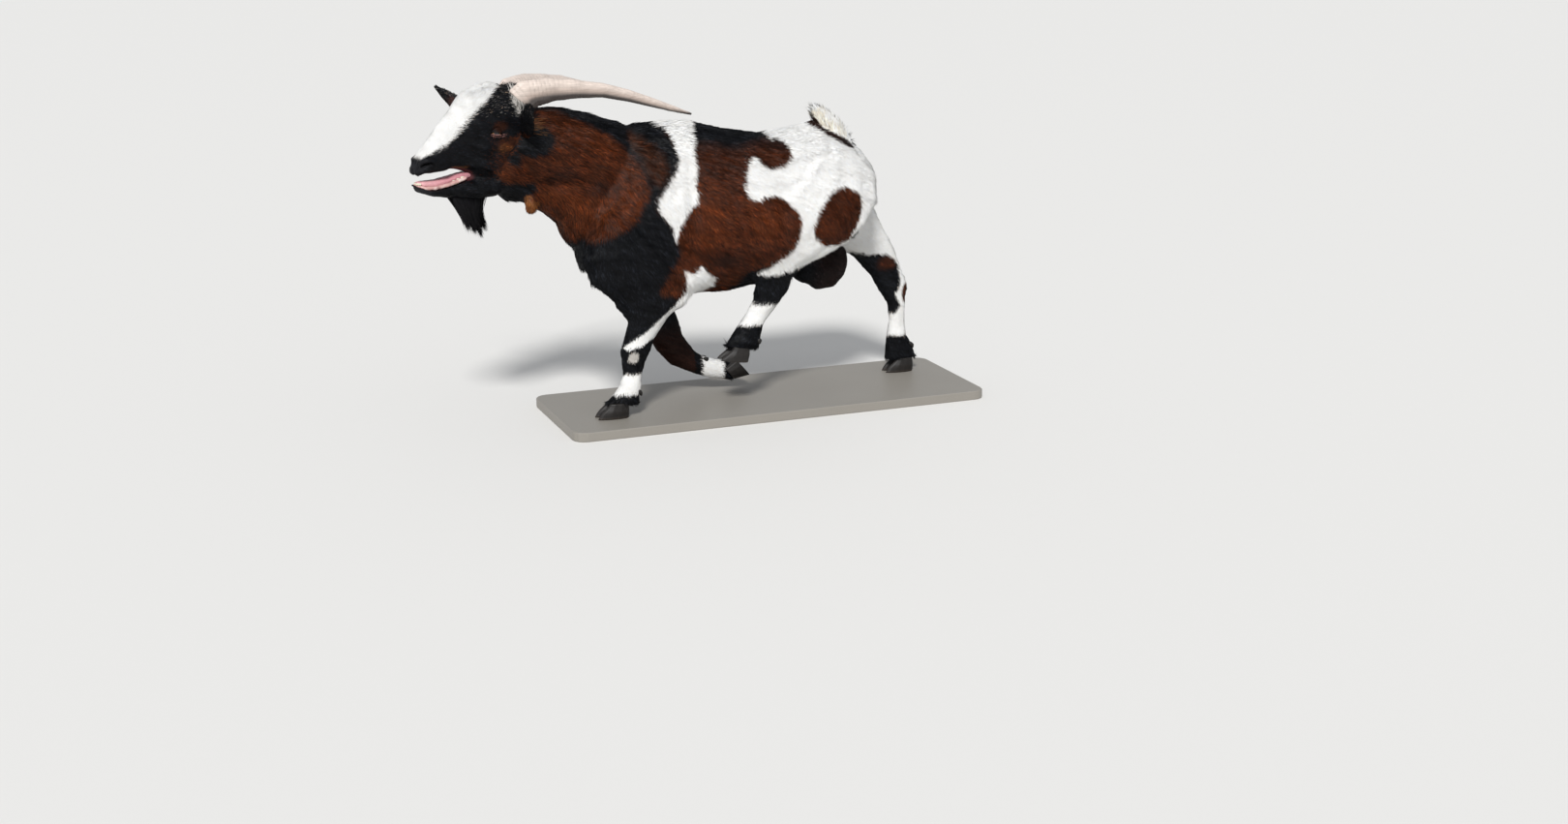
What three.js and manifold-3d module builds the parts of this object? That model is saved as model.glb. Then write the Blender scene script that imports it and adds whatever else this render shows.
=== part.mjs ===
// A trotting dwarf goat buck, life size, on a plain display base. Millimetres, +Z up.
// The goat faces -X, its left side is towards -Y. Z = 0 is the floor under the base.
// The left fore foot and the right hind foot are planted, the other two swing forward.
import * as THREE from 'three';
import { mergeVertices } from 'three/addons/utils/BufferGeometryUtils.js';
import Module from 'manifold-3d';

const wasm = await Module();
wasm.setup();

// ---- driving dimensions ----
const gap = 0.3; // clearance between neighbouring pieces
const base = { length: 860, width: 300, height: 18, corner: 24, bevel: 1.5, x: 65, y: 0 };
const head = { x: -420, y: -5, z: 545, turn: 18 }; // pivot behind the ears, turn to the left in degrees
const eye = { radius: 11.5, forward: 69, side: 37.5, up: 10 };
const claw = { width: 18, height: 29, spread: 10.6, slant: 0.62, heelSlant: 0.1, egg: 0.25 };
const leaf = { width: 25, thickness: 3.2, curl: 9 }; // an ear's half width, half thickness and cup
const teethRadius = 3.6;
const withersHeight = 556;
const bellyHeight = 216;
const trunkEgg = 0.16; // how much narrower the back is than the belly
const neckCut = { length: 260, width: 300, height: 300, tilt: 21.4, x: -410, z: 502 };

// ---- fineness: points round a ring, and rows made between two given rings ----
const fine = {
  skull: { around: 18, between: 2 }, jaw: { around: 14, between: 1 }, tongue: { around: 10, between: 1 },
  beard: { around: 12, between: 1 }, horn: { around: 12, between: 1 }, trunk: { around: 22, between: 1 },
  neck: { around: 18, between: 1 }, leg: { around: 12, between: 1 }, claw: { around: 10, between: 1 },
  tail: { around: 12, between: 1 }, scrotum: { around: 12, between: 1 }, wattle: { around: 8, between: 1 },
  ear: { around: 12 }, eyeball: { around: 12, rows: 8 },
  teeth: { steps: 10, around: 3 }, board: { corner: 2 },
};

// ---- finishes ----
const finish = {
  brown: [0x5a2814, 0.85], black: [0x15161a, 0.8], white: [0xe9e4dc, 0.85],
  horn: [0xbfae9f, 0.55], hoof: [0x1b1a1a, 0.6], tongue: [0xc97f86, 0.4],
  teeth: [0xd9cfb8, 0.35], eyeball: [0x4a3518, 0.15], base: [0x8d8a84, 0.7],
};

function material(name) {
  const [color, roughness] = finish[name];
  return new THREE.MeshStandardMaterial({ name, color, roughness, metalness: 0 });
}

// ---- solids ----
function toSolid(geometry) {
  const bare = geometry.clone();
  bare.deleteAttribute('normal');
  bare.deleteAttribute('uv');
  const merged = mergeVertices(bare, 1e-4);
  return new wasm.Manifold(new wasm.Mesh({
    numProp: 3,
    vertProperties: new Float32Array(merged.attributes.position.array),
    triVerts: new Uint32Array(merged.index.array),
  }));
}

function signedVolume(position, triangles) {
  let volume = 0;
  const a = new THREE.Vector3();
  const b = new THREE.Vector3();
  const c = new THREE.Vector3();
  for (let i = 0; i < triangles.length; i += 3) {
    a.fromArray(position, 3 * triangles[i]);
    b.fromArray(position, 3 * triangles[i + 1]);
    c.fromArray(position, 3 * triangles[i + 2]);
    volume += a.dot(b.cross(c)) / 6;
  }
  return volume;
}

// The largest closed shell of a cut solid, without the loose slivers a cut can leave.
function largestShell(solid) {
  const mesh = solid.getMesh();
  const position = [];
  for (let i = 0; i < mesh.numVert; i++) {
    for (let k = 0; k < 3; k++) position.push(mesh.vertProperties[i * mesh.numProp + k]);
  }
  const parent = Array.from({ length: mesh.numVert }, (_, i) => i);
  const find = (i) => {
    while (parent[i] !== i) {
      parent[i] = parent[parent[i]];
      i = parent[i];
    }
    return i;
  };
  for (let i = 0; i < mesh.triVerts.length; i += 3) {
    parent[find(mesh.triVerts[i])] = find(mesh.triVerts[i + 1]);
    parent[find(mesh.triVerts[i + 1])] = find(mesh.triVerts[i + 2]);
  }
  const shells = new Map();
  for (let i = 0; i < mesh.triVerts.length; i += 3) {
    const root = find(mesh.triVerts[i]);
    if (!shells.has(root)) shells.set(root, []);
    shells.get(root).push(...mesh.triVerts.slice(i, i + 3));
  }
  let best = [];
  let bestVolume = 0;
  for (const triangles of shells.values()) {
    const volume = signedVolume(position, triangles);
    if (volume > bestVolume) [best, bestVolume] = [triangles, volume];
  }
  const geometry = new THREE.BufferGeometry();
  geometry.setAttribute('position', new THREE.Float32BufferAttribute(position, 3));
  geometry.setIndex(best);
  return mergeVertices(geometry.toNonIndexed(), 1e-4);
}

// A closed skin over a stack of rings of points, with a fan to a middle point at each end.
function ringsToGeometry(position, rows, around, firstEnd, lastEnd) {
  const first = rows * around;
  const points = [...position, ...firstEnd.toArray(), ...lastEnd.toArray()];
  let triangles = [];
  for (let j = 0; j < around; j++) {
    const k = (j + 1) % around;
    triangles.push(first, k, j, first + 1, (rows - 1) * around + j, (rows - 1) * around + k);
    for (let i = 0; i < rows - 1; i++) {
      const p = i * around;
      triangles.push(p + j, p + k, p + around + j, p + k, p + around + k, p + around + j);
    }
  }
  if (signedVolume(points, triangles) < 0) triangles = triangles.reverse();
  const geometry = new THREE.BufferGeometry();
  geometry.setAttribute('position', new THREE.Float32BufferAttribute(points, 3));
  geometry.setIndex(triangles);
  return geometry;
}

// A closed body through a row of rings. Each ring is an upright oval given by one edge point,
// the opposite edge point, the y of its middle and its half width:
// [x1, z1, x2, z2, y, halfWidth]. egg narrows the side of the first edge point.
function loft(rings, { around, between, egg = 0, grow = 0 }) {
  const curve = (pick) => new THREE.CatmullRomCurve3(rings.map((r) => new THREE.Vector3(...pick(r))));
  const edgeA = curve((r) => [r[0], r[4], r[1]]);
  const edgeB = curve((r) => [r[2], r[4], r[3]]);
  const width = curve((r) => [r[5], 0, 0]);
  const last = (rings.length - 1) * between;
  const position = [];
  const centres = [];
  for (let i = 0; i <= last; i++) {
    const a = edgeA.getPoint(i / last);
    const b = edgeB.getPoint(i / last);
    const half = width.getPoint(i / last).x + grow;
    const centre = a.clone().add(b).multiplyScalar(0.5);
    const axis = a.clone().sub(b).multiplyScalar(0.5);
    axis.setLength(axis.length() + grow);
    centres.push(centre);
    for (let j = 0; j < around; j++) {
      const angle = (2 * Math.PI * j) / around;
      const side = half * Math.sin(angle) * (1 - egg * Math.cos(angle));
      const point = centre.clone().addScaledVector(axis, Math.cos(angle));
      position.push(point.x, point.y + side, point.z);
    }
  }
  const beyond = (end, inner) => end.clone().add(end.clone().sub(inner).setLength(grow));
  return ringsToGeometry(position, last + 1, around,
    beyond(centres[0], centres[1]), beyond(centres[last], centres[last - 1]));
}

function block([x1, x2], [y1, y2], [z1, z2], grow = 0) {
  const size = [x2 - x1, y2 - y1, z2 - z1].map((s) => s + 2 * grow);
  const geometry = new THREE.BoxGeometry(...size);
  geometry.translate((x1 + x2) / 2, (y1 + y2) / 2, (z1 + z2) / 2);
  return toSolid(geometry);
}

const union = (solids) => solids.reduce((whole, solid) => whole.add(solid));
const cut = (solid, cutters) => cutters.reduce((rest, cutter) => rest.subtract(cutter), solid);
const mirrored = (rings) => rings.map((r) => [r[0], r[1], r[2], r[3], -r[4], r[5]]);

// ---- trunk and neck: top edge, bottom edge, middle, half width ----
const trunkRings = [
  [-292, 500, -320, 345, 0, 40],
  [-262, 545, -306, 286, 0, 70],
  [-206, 553, -250, 242, 0, 88],
  [-150, withersHeight, -175, 224, 0, 96],
  [-94, withersHeight, -95, bellyHeight, 0, 102],
  [-20, 538, -20, bellyHeight, 0, 112],
  [54, 525, 50, 226, 0, 118],
  [115, 531, 110, 246, 0, 112],
  [172, 541, 168, 268, 0, 104],
  [222, 519, 215, 290, 0, 94],
  [264, 489, 258, 318, 0, 80],
  [290, 458, 284, 350, 0, 56],
  [298, 430, 296, 385, 0, 26],
];
const neckRings = [
  [-180, 540, -290, 320, 0, 66],
  [-235, 563, -325, 335, 0, 72],
  [-290, 580, -352, 374, 0, 72],
  [-345, 592, -384, 398, -1, 68],
  [-392, 598, -420, 417, -6, 62],
  [-428, 590, -455, 425, -14, 54],
  [-452, 565, -478, 440, -22, 42],
];

// ---- legs: front edge, back edge, middle, half width ----
const shoulderRings = [
  [-185, 505, -118, 508, -50, 12],
  [-245, 440, -105, 450, -66, 24],
  [-300, 375, -92, 385, -74, 29],
  [-322, 322, -78, 325, -78, 31],
];
const frontLeftRings = [
  ...shoulderRings,
  [-312, 272, -64, 268, -79, 30],
  [-266, 230, -108, 240, -75, 26],
  [-233, 186, -152, 192, -69, 21],
  [-241, 150, -180, 150, -66, 17],
  [-248, 130, -188, 127, -65, 17],
  [-246, 106, -198, 104, -63, 14.5],
  [-243, 82, -205, 80, -62, 13],
  [-252, 58, -207, 58, -62, 14],
  [-266, 40, -210, 40, -62, 16],
  [-278, 26, -213, 24, -62, 17],
];
const frontRightRings = [
  // the right shoulder is drawn back with its folded leg
  ...mirrored(shoulderRings).map(([x1, ...rest], i) => [x1 + [0, 8, 18, 20][i], ...rest]),
  [-290, 280, -80, 275, 79, 30],
  [-248, 228, -104, 246, 75, 26],
  [-190, 180, -108, 205, 70, 21],
  [-152, 130, -88, 156, 66, 18],
  [-134, 92, -78, 118, 63, 17],
  [-108, 62, -66, 100, 61, 16],
  [-76, 46, -54, 84, 60, 13],
  [-48, 34, -38, 72, 60, 12.5],
  [-22, 25, -18, 66, 60, 14.5],
  [4, 20, 10, 58, 60, 15.5],
  [22, 18, 26, 50, 60, 16],
];
const hindLeftRings = [
  [150, 508, 240, 490, -48, 16],
  [100, 475, 280, 440, -62, 30],
  [52, 445, 284, 392, -72, 36],
  [22, 412, 256, 345, -80, 38],
  [2, 380, 214, 312, -86, 36],
  [-4, 345, 165, 288, -87, 32],
  [2, 308, 122, 272, -84, 27],
  [13, 272, 100, 250, -80, 22],
  [22, 240, 93, 227, -76, 18],
  [21, 212, 78, 204, -73, 15],
  [8, 186, 58, 182, -72, 13.5],
  [-8, 164, 42, 160, -72, 15],
  [-24, 142, 36, 136, -72, 16.5],
  [-36, 122, 32, 112, -72, 17],
];
const hindRightRings = [
  [150, 508, 240, 490, 48, 16],
  [108, 450, 288, 440, 64, 30],
  [128, 388, 318, 388, 72, 34],
  [168, 334, 347, 340, 75, 33],
  [225, 288, 368, 298, 75, 28],
  [292, 250, 388, 258, 72, 22],
  [330, 210, 402, 216, 68, 17],
  [350, 176, 414, 178, 65, 15.5],
  [370, 146, 410, 146, 63, 13.5],
  [375, 112, 409, 110, 62, 12.5],
  [371, 82, 412, 78, 62, 14],
  [367, 56, 428, 54, 62, 16],
  [366, 30, 434, 28, 62, 17],
];

// ---- head, in its own frame: nose towards -X ----
const skullRings = [
  [30, 62, 30, -52, 0, 34],
  [10, 80, 8, -72, 0, 46],
  [-30, 90, -22, -84, 0, 49],
  [-72, 93, -52, -88, 0, 48],
  [-112, 86, -84, -84, 0, 45],
  [-140, 54, -112, -62, 0, 36],
  [-176, 19, -146, -51, 0, 29],
  [-204, -13, -184, -55, 0, 27],
  [-215, -30, -204, -57, 0, 23],
  [-224, -43, -218, -59, 0, 15],
];
const jawRings = [
  [-40, -62, -30, -96, 0, 34],
  [-72, -64, -62, -110, 0, 34],
  [-98, -66, -92, -110, 0, 31],
  [-124, -69, -122, -106, 0, 26],
  [-160, -75, -158, -102, 0, 21],
  [-192, -80, -186, -97, 0, 18],
  [-215, -75, -210, -88, 0, 14],
  [-226, -69, -222, -76, 0, 7],
];
const tongueRings = [
  [-96, -54, -94, -68, 0, 11],
  [-140, -60, -138, -78, 0, 12.5],
  [-180, -66, -178, -84, 0, 12],
  [-204, -66, -203, -80, 0, 10],
  [-215, -67, -214, -73, 0, 5],
];
const beardRings = [
  [-170, -84, -70, -98, 0, 14],
  [-161, -99, -82, -108, 0, 15],
  [-141, -125, -94, -124, 0, 13],
  [-127, -150, -92, -148, 0, 11],
  [-117, -170, -84, -171, 0, 8],
  [-103, -186, -88, -188, 0, 3],
];
const wattleRings = (y, lift) => [
  [-417, 451 + lift, -395, 451 + lift, y + 4, 9],
  [-419, 431 + lift, -393, 431 + lift, y, 12],
  [-418, 414 + lift, -394, 414 + lift, y, 12],
  [-412, 404 + lift, -399, 404 + lift, y, 7],
];
// horn: upper edge, lower edge, middle, half width
const hornRings = [
  [-24, 58, 16, 22, -18, 15],
  [-27, 82, 18, 38, -20, 16.5],
  [-8, 99, 30, 50, -26, 16],
  [42, 103, 60, 59, -40, 14.5],
  [92, 98, 100, 62, -54, 12.5],
  [148, 89, 148, 61, -67, 11],
  [200, 74, 196, 51, -77, 9],
  [250, 55, 244, 38, -85, 7],
  [298, 36, 293, 25, -90, 5],
  [337, 20, 335, 16, -92, 2],
];
// the right horn ends a little higher and further in than the left one
const rightHornRings = mirrored(hornRings).map(([x1, z1, x2, z2, y, half], i, all) => {
  const share = (i / (all.length - 1)) ** 2;
  return [x1 - 12 * share, z1 + 11 * share, x2 - 12 * share, z2 + 11 * share, y - 6 * share, half];
});
const tailRings = [
  [196, 500, 262, 470, 0, 15],
  [186, 530, 262, 500, 0, 20],
  [176, 546, 243, 528, 0, 22],
  [168, 559, 220, 552, 0, 19],
  [169, 569, 196, 568, 0, 10],
];
const scrotumRings = [
  [122, 262, 118, 246, -4, 10],
  [148, 275, 146, 226, -4, 27],
  [180, 292, 180, 206, -4, 36],
  [212, 300, 214, 206, -4, 37],
  [236, 290, 236, 228, -4, 27],
  [244, 268, 244, 252, -4, 12],
];

// two claws to a foot: the ends of the sole and the middle of the foot
const feet = {
  front_left: { toe: [-299, 0], heel: [-236, 0], y: -62 },
  front_right: { toe: [60, 26], heel: [28, 62], y: 60 },
  hind_left: { toe: [-52, 96], heel: [6, 88], y: -72 },
  hind_right: { toe: [363, 0], heel: [425, 0], y: 62 },
};

const headPose = new THREE.Matrix4()
  .makeRotationZ(THREE.MathUtils.degToRad(head.turn))
  .setPosition(head.x, head.y, head.z);
const inTrunkFrame = (geometry) => geometry.clone().applyMatrix4(headPose);
const inHeadFrame = (geometry) => geometry.clone().applyMatrix4(headPose.clone().invert());

// ---- ears: a cupped leaf from root to tip, opening towards the given side ----
function ear(root, tip, opening) {
  const foot = new THREE.Vector3(...root);
  const along = new THREE.Vector3(...tip).sub(foot);
  const length = along.length();
  along.normalize();
  const across = new THREE.Vector3(...opening).cross(along).normalize();
  const normal = along.clone().cross(across);
  // share of the length, share of the half width, share of the half thickness
  const sections = [
    [0, 0.5, 2.2], [0.18, 0.72, 1.7], [0.42, 1, 1.2], [0.66, 0.86, 1], [0.86, 0.5, 1], [1, 0.12, 0.7],
  ];
  const { around } = fine.ear;
  const position = [];
  for (const [t, wide, thick] of sections) {
    for (let j = 0; j < around; j++) {
      const angle = (2 * Math.PI * j) / around;
      const side = Math.cos(angle);
      const cup = leaf.curl * wide * (side * side - 0.5);
      const point = foot.clone()
        .addScaledVector(along, t * length)
        .addScaledVector(across, leaf.width * wide * side)
        .addScaledVector(normal, -cup + leaf.thickness * thick * Math.sin(angle));
      position.push(...point.toArray());
    }
  }
  const middleOf = (row) => {
    const sum = new THREE.Vector3();
    for (let j = 0; j < around; j++) sum.add(new THREE.Vector3().fromArray(position, 3 * (row * around + j)));
    return sum.divideScalar(around);
  };
  return ringsToGeometry(position, sections.length, around, middleOf(0), middleOf(sections.length - 1));
}

// The lower teeth with their gum: a round bead along the rim of the jaw, from cheek to cheek.
function teethRow() {
  const half = [[-122, 17, -66], [-158, 17, -75], [-190, 14, -79], [-211, 9, -76]];
  const points = [
    ...half, [-219, 0, -73], ...half.map(([x, y, z]) => [x, -y, z]).reverse(),
  ].map((p) => new THREE.Vector3(...p));
  const bead = new THREE.Shape();
  bead.absarc(0, 0, teethRadius, 0, 2 * Math.PI);
  return new THREE.ExtrudeGeometry(bead, {
    extrudePath: new THREE.CatmullRomCurve3(points), steps: fine.teeth.steps, curveSegments: fine.teeth.around,
  });
}

// ---- assembly ----
const goat = new THREE.Group();
goat.position.z = base.height + gap;
const headGroup = new THREE.Group();
headGroup.position.set(head.x, head.y, head.z);
headGroup.rotation.z = THREE.MathUtils.degToRad(head.turn);
goat.add(headGroup);

function add(parent, name, geometry, finishName) {
  const mesh = new THREE.Mesh(geometry, material(finishName));
  mesh.name = name;
  parent.add(mesh);
  return mesh;
}

// head and what it carries, each cut clear of the piece it grows from
const skullShape = (grow) => toSolid(loft(skullRings, { ...fine.skull, grow }));
const jawShape = (grow) => toSolid(loft(jawRings, { ...fine.jaw, grow }));
const tongueShape = (grow) => toSolid(loft(tongueRings, { ...fine.tongue, grow }));
const ball = (side, grow) => {
  const geometry = new THREE.SphereGeometry(eye.radius + grow, fine.eyeball.around, fine.eyeball.rows);
  geometry.rotateX(Math.PI / 2);
  geometry.translate(-eye.forward, side * eye.side, eye.up);
  return toSolid(geometry);
};
const neckClear = toSolid(inHeadFrame(loft(neckRings, { ...fine.neck, grow: gap })));
const skull = cut(skullShape(0), [ball(-1, gap), ball(1, gap)]);
const jaw = cut(jawShape(0), [skullShape(gap)]);
const mouthCutters = [skullShape(gap), jawShape(gap)];
const tongue = cut(tongueShape(0), mouthCutters);
const beard = cut(toSolid(loft(beardRings, fine.beard)), [...mouthCutters, neckClear]);
const teeth = cut(toSolid(teethRow()), [...mouthCutters, tongueShape(gap)]);
add(headGroup, 'lower_teeth', largestShell(teeth), 'teeth');
add(headGroup, 'head', largestShell(skull), 'black');
add(headGroup, 'lower_jaw', largestShell(jaw), 'black');
add(headGroup, 'tongue', largestShell(tongue), 'tongue');
add(headGroup, 'beard', largestShell(beard), 'black');

const hornLoft = (side, grow) => toSolid(
  loft(side < 0 ? hornRings : rightHornRings, { ...fine.horn, grow }));
for (const [sideName, side] of [['left', -1], ['right', 1]]) {
  add(headGroup, `eye_${sideName}`, largestShell(ball(side, 0)), 'eyeball');
  const horn = cut(hornLoft(side, 0), [skullShape(gap), neckClear]);
  add(headGroup, `horn_${sideName}`, largestShell(horn), 'horn');
}
// root, tip and the way the hollow faces: the left ear is up and forward, the right one further up
const earLeft = ear([-12, -44, 6], [-46, -124, 66], [-1, -0.2, 0.2]);
const earRight = ear([-28, 43, -2], [-102, 110, 84], [-0.74, -0.37, -0.56]);
const earCutters = [skullShape(gap), neckClear, hornLoft(-1, gap), hornLoft(1, gap)];
add(headGroup, 'ear_left', largestShell(cut(toSolid(earLeft), earCutters)), 'black');
add(headGroup, 'ear_right', largestShell(cut(toSolid(earRight), earCutters)), 'black');

// One claw is a stack of rings from the sole up, leaning back along the wall of the toe.
function clawRings({ toe, heel, y }, side) {
  const sole = new THREE.Vector2(heel[0] - toe[0], heel[1] - toe[1]).normalize();
  const up = [-sole.y, sole.x];
  const along = ([x, z], lift, shift) => [x + up[0] * lift + sole.x * shift, z + up[1] * lift + sole.y * shift];
  // share of the height, share of the width
  return [[0, 1], [0.5, 1.02], [1, 0.84]].map(([t, wide]) => {
    const lift = t * claw.height;
    const front = along(toe, lift, lift * claw.slant);
    const rear = along(heel, lift, lift * claw.heelSlant);
    return [...front, ...rear, y + side * claw.spread, (claw.width / 2) * wide];
  });
}
const clawShape = (name, side, grow) => toSolid(
  loft(clawRings(feet[name], side), { ...fine.claw, egg: claw.egg, grow }));

// the flesh of trunk, neck and legs is one body, parted by straight cuts
const shape = (rings, mesh, grow = 0, egg = 0) => toSolid(loft(rings, { ...mesh, grow, egg }));
const flesh = union([
  shape(trunkRings, fine.trunk, 0, trunkEgg), shape(neckRings, fine.neck),
  ...[frontLeftRings, frontRightRings, hindLeftRings, hindRightRings].map((rings) => shape(rings, fine.leg)),
]);
const headCutters = mouthCutters.map((solid) => toSolid(inTrunkFrame(largestShell(solid))));
const neckBlock = (grow) => {
  const { length, width, height, tilt, x, z } = neckCut;
  const geometry = new THREE.BoxGeometry(length + 2 * grow, width, height + 2 * grow);
  geometry.rotateY(THREE.MathUtils.degToRad(tilt)).translate(x, 0, z);
  return toSolid(geometry);
};
const regions = {
  front_left_shoulder: { x: [-345, -60], y: [-150, -62], z: [226, 505], finish: 'black' },
  front_left_forearm: { x: [-345, -60], y: [-150, -25], z: [118, 225], finish: 'black' },
  front_left_cannon: { x: [-345, -120], y: [-150, -25], z: [-10, 117], finish: 'white' },
  front_right_shoulder: { x: [-345, -60], y: [62, 150], z: [226, 505], finish: 'black' },
  front_right_forearm: { x: [-345, -60], y: [25, 150], z: [-10, 225], finish: 'black' },
  front_right_cannon: { x: [-59, 100], y: [25, 150], z: [-10, 117], finish: 'black' },
  hind_left_thigh: { x: [-20, 330], y: [-150, -62], z: [238, 505], finish: 'white' },
  hind_left_gaskin: { x: [-60, 140], y: [-150, -34], z: [196, 237], finish: 'black' },
  hind_left_cannon: { x: [-100, 140], y: [-150, -34], z: [60, 195], finish: 'white' },
  hind_right_thigh: {
    x: [120, 400], y: [62, 150], z: [292, 505], finish: 'white', inner: [[299, 400], [30, 63]],
  },
  hind_right_gaskin: { x: [205, 460], y: [16, 150], z: [160, 291], finish: 'black' },
  hind_right_cannon: { x: [205, 460], y: [16, 150], z: [-10, 159], finish: 'white' },
};
// A region is one block, and where a leg stands clear behind the trunk a second one inside it.
function regionSolid({ x, y, z, inner }, grow = 0) {
  const outer = block(x, y, z, grow);
  return inner ? outer.add(block(inner[0], inner[1], z, grow)) : outer;
}
for (const [name, region] of Object.entries(regions)) {
  let piece = flesh.intersect(regionSolid(region));
  if (name.endsWith('shoulder')) piece = cut(piece, [neckBlock(gap)]);
  const foot = Object.keys(feet).find((key) => name === `${key}_cannon`);
  if (foot) piece = cut(piece, [clawShape(foot, -1, gap), clawShape(foot, 1, gap)]);
  add(goat, name, largestShell(piece), region.finish);
}
for (const name of Object.keys(feet)) {
  add(goat, `${name}_claw_outer`, largestShell(clawShape(name, name.endsWith('left') ? -1 : 1, 0)), 'hoof');
  add(goat, `${name}_claw_inner`, largestShell(clawShape(name, name.endsWith('left') ? 1 : -1, 0)), 'hoof');
}
add(goat, 'neck', largestShell(cut(flesh.intersect(neckBlock(0)), headCutters)), 'brown');
const trunk = cut(flesh, [neckBlock(gap), ...Object.values(regions).map((r) => regionSolid(r, gap))]);
add(goat, 'trunk', largestShell(trunk), 'brown');

// tail, scrotum and the two wattles
const trunkShape = shape(trunkRings, fine.trunk, gap, trunkEgg);
const scrotumCutters = [trunkShape, shape(hindLeftRings, fine.leg, gap), shape(hindRightRings, fine.leg, gap)];
const neckShape = shape(neckRings, fine.neck, gap);
add(goat, 'tail', largestShell(cut(shape(tailRings, fine.tail), [trunkShape])), 'white');
add(goat, 'scrotum', largestShell(cut(shape(scrotumRings, fine.scrotum), scrotumCutters)), 'black');
// middle's y and how much higher it hangs
for (const [name, y, lift] of [['wattle_left', -37, 0], ['wattle_right', 48, 18]]) {
  const wattle = cut(shape(wattleRings(y, lift), fine.wattle), [neckShape, ...headCutters]);
  add(goat, name, largestShell(wattle), 'brown');
}

// a plain flat base under the feet
function baseBoard() {
  const { length, width, height, corner, bevel } = base;
  const [a, b] = [length / 2 - bevel, width / 2 - bevel];
  const outline = new THREE.Shape();
  outline.absarc(a - corner, b - corner, corner, 0, Math.PI / 2);
  outline.absarc(-a + corner, b - corner, corner, Math.PI / 2, Math.PI);
  outline.absarc(-a + corner, -b + corner, corner, Math.PI, Math.PI * 1.5);
  outline.absarc(a - corner, -b + corner, corner, Math.PI * 1.5, Math.PI * 2);
  return new THREE.ExtrudeGeometry(outline, {
    depth: height - 2 * bevel, bevelEnabled: true, bevelSize: bevel, bevelThickness: bevel,
    bevelSegments: 1, curveSegments: fine.board.corner,
  }).translate(base.x, base.y, bevel);
}

const model = new THREE.Group();
model.add(goat);
add(model, 'stand_base', baseBoard(), 'base');

// the origin is on the floor, under the middle of the whole model's box
const middle = new THREE.Box3().setFromObject(model, true).getCenter(new THREE.Vector3());
model.position.set(-middle.x, -middle.y, 0);

export default model;
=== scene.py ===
# A small horned goat buck in mid-stride, as a still museum model on a plain board.
# Metres, +Z up, the goat faces -X and its left side is towards -Y.
import math

import bpy
import numpy as np
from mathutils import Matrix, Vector
from mathutils.bvhtree import BVHTree


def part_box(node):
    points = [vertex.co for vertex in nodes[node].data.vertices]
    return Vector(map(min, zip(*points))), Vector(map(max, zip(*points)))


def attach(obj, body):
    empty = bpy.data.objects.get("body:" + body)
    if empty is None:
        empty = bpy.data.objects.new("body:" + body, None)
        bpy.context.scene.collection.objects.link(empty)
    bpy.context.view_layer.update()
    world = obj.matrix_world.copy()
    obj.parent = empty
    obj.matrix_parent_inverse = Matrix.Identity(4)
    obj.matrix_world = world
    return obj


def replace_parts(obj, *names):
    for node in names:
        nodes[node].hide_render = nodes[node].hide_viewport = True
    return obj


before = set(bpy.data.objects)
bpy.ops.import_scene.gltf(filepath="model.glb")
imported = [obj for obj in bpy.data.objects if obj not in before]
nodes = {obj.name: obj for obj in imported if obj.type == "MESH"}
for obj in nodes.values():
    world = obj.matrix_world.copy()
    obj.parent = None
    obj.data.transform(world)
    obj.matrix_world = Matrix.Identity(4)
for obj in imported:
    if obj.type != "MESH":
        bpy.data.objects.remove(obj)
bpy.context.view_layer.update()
rng = np.random.default_rng(7)
mm = 0.001

# the goat's own frame, in millimetres: x along the back, z from the soles, y = 0 in its middle
places = {
    "toeX": -299, "footY": -62,  # tip of the near fore hoof, middle of that foot
    "head": (-420, -5, 545), "headTurn": 18,  # pivot of the head behind the ears, its turn in degrees
}
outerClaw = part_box("front_left_claw_outer")
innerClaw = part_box("front_left_claw_inner")
goatOrigin = np.array([
    outerClaw[0].x - places["toeX"] * mm,
    (outerClaw[0].y + innerClaw[1].y) / 2 - places["footY"] * mm,
    outerClaw[0].z,
])
turn = math.radians(places["headTurn"])
headAxes = np.array([
    [math.cos(turn), math.sin(turn), 0],
    [-math.sin(turn), math.cos(turn), 0],
    [0, 0, 1],
])


def toGoat(points):
    return (np.asarray(points) - goatOrigin) / mm


def toHead(points):
    return (toGoat(points) - places["head"]) @ headAxes.T


def fromGoat(points):
    return np.asarray(points, float) * mm + goatOrigin


def fromHead(points):
    return fromGoat(np.asarray(points, float) @ headAxes + places["head"])


def linear(hexText):
    channels = [int(hexText[i:i + 2], 16) / 255 for i in (0, 2, 4)]
    return tuple(c / 12.92 if c <= 0.04045 else ((c + 0.055) / 1.055) ** 2.4 for c in channels)


def addNode(tree, kind, links=None, **settings):
    node = tree.nodes.new(kind)
    for key, value in settings.items():
        if key.startswith("in_"):
            node.inputs[key[3:].replace("_", " ")].default_value = value
        else:
            setattr(node, key, value)
    for socket, source in (links or {}).items():
        tree.links.new(source, node.inputs[socket])
    return node


def newMaterial(name, **settings):
    material = bpy.data.materials.new(name)
    material.use_nodes = True
    tree = material.node_tree
    tree.nodes.clear()
    shader = addNode(tree, "ShaderNodeBsdfPrincipled", **settings)
    output = addNode(tree, "ShaderNodeOutputMaterial")
    tree.links.new(shader.outputs["BSDF"], output.inputs["Surface"])
    return material, tree, shader


def select(*objects):
    bpy.ops.object.select_all(action="DESELECT")
    for one in objects:
        one.select_set(True)
    bpy.context.view_layer.objects.active = objects[0]


def addPiece(name, mesh):
    piece = bpy.data.objects.new(name, mesh)
    bpy.context.scene.collection.objects.link(piece)
    return piece


def addShape(operator, **settings):
    operator(**settings)
    return bpy.context.object


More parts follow.
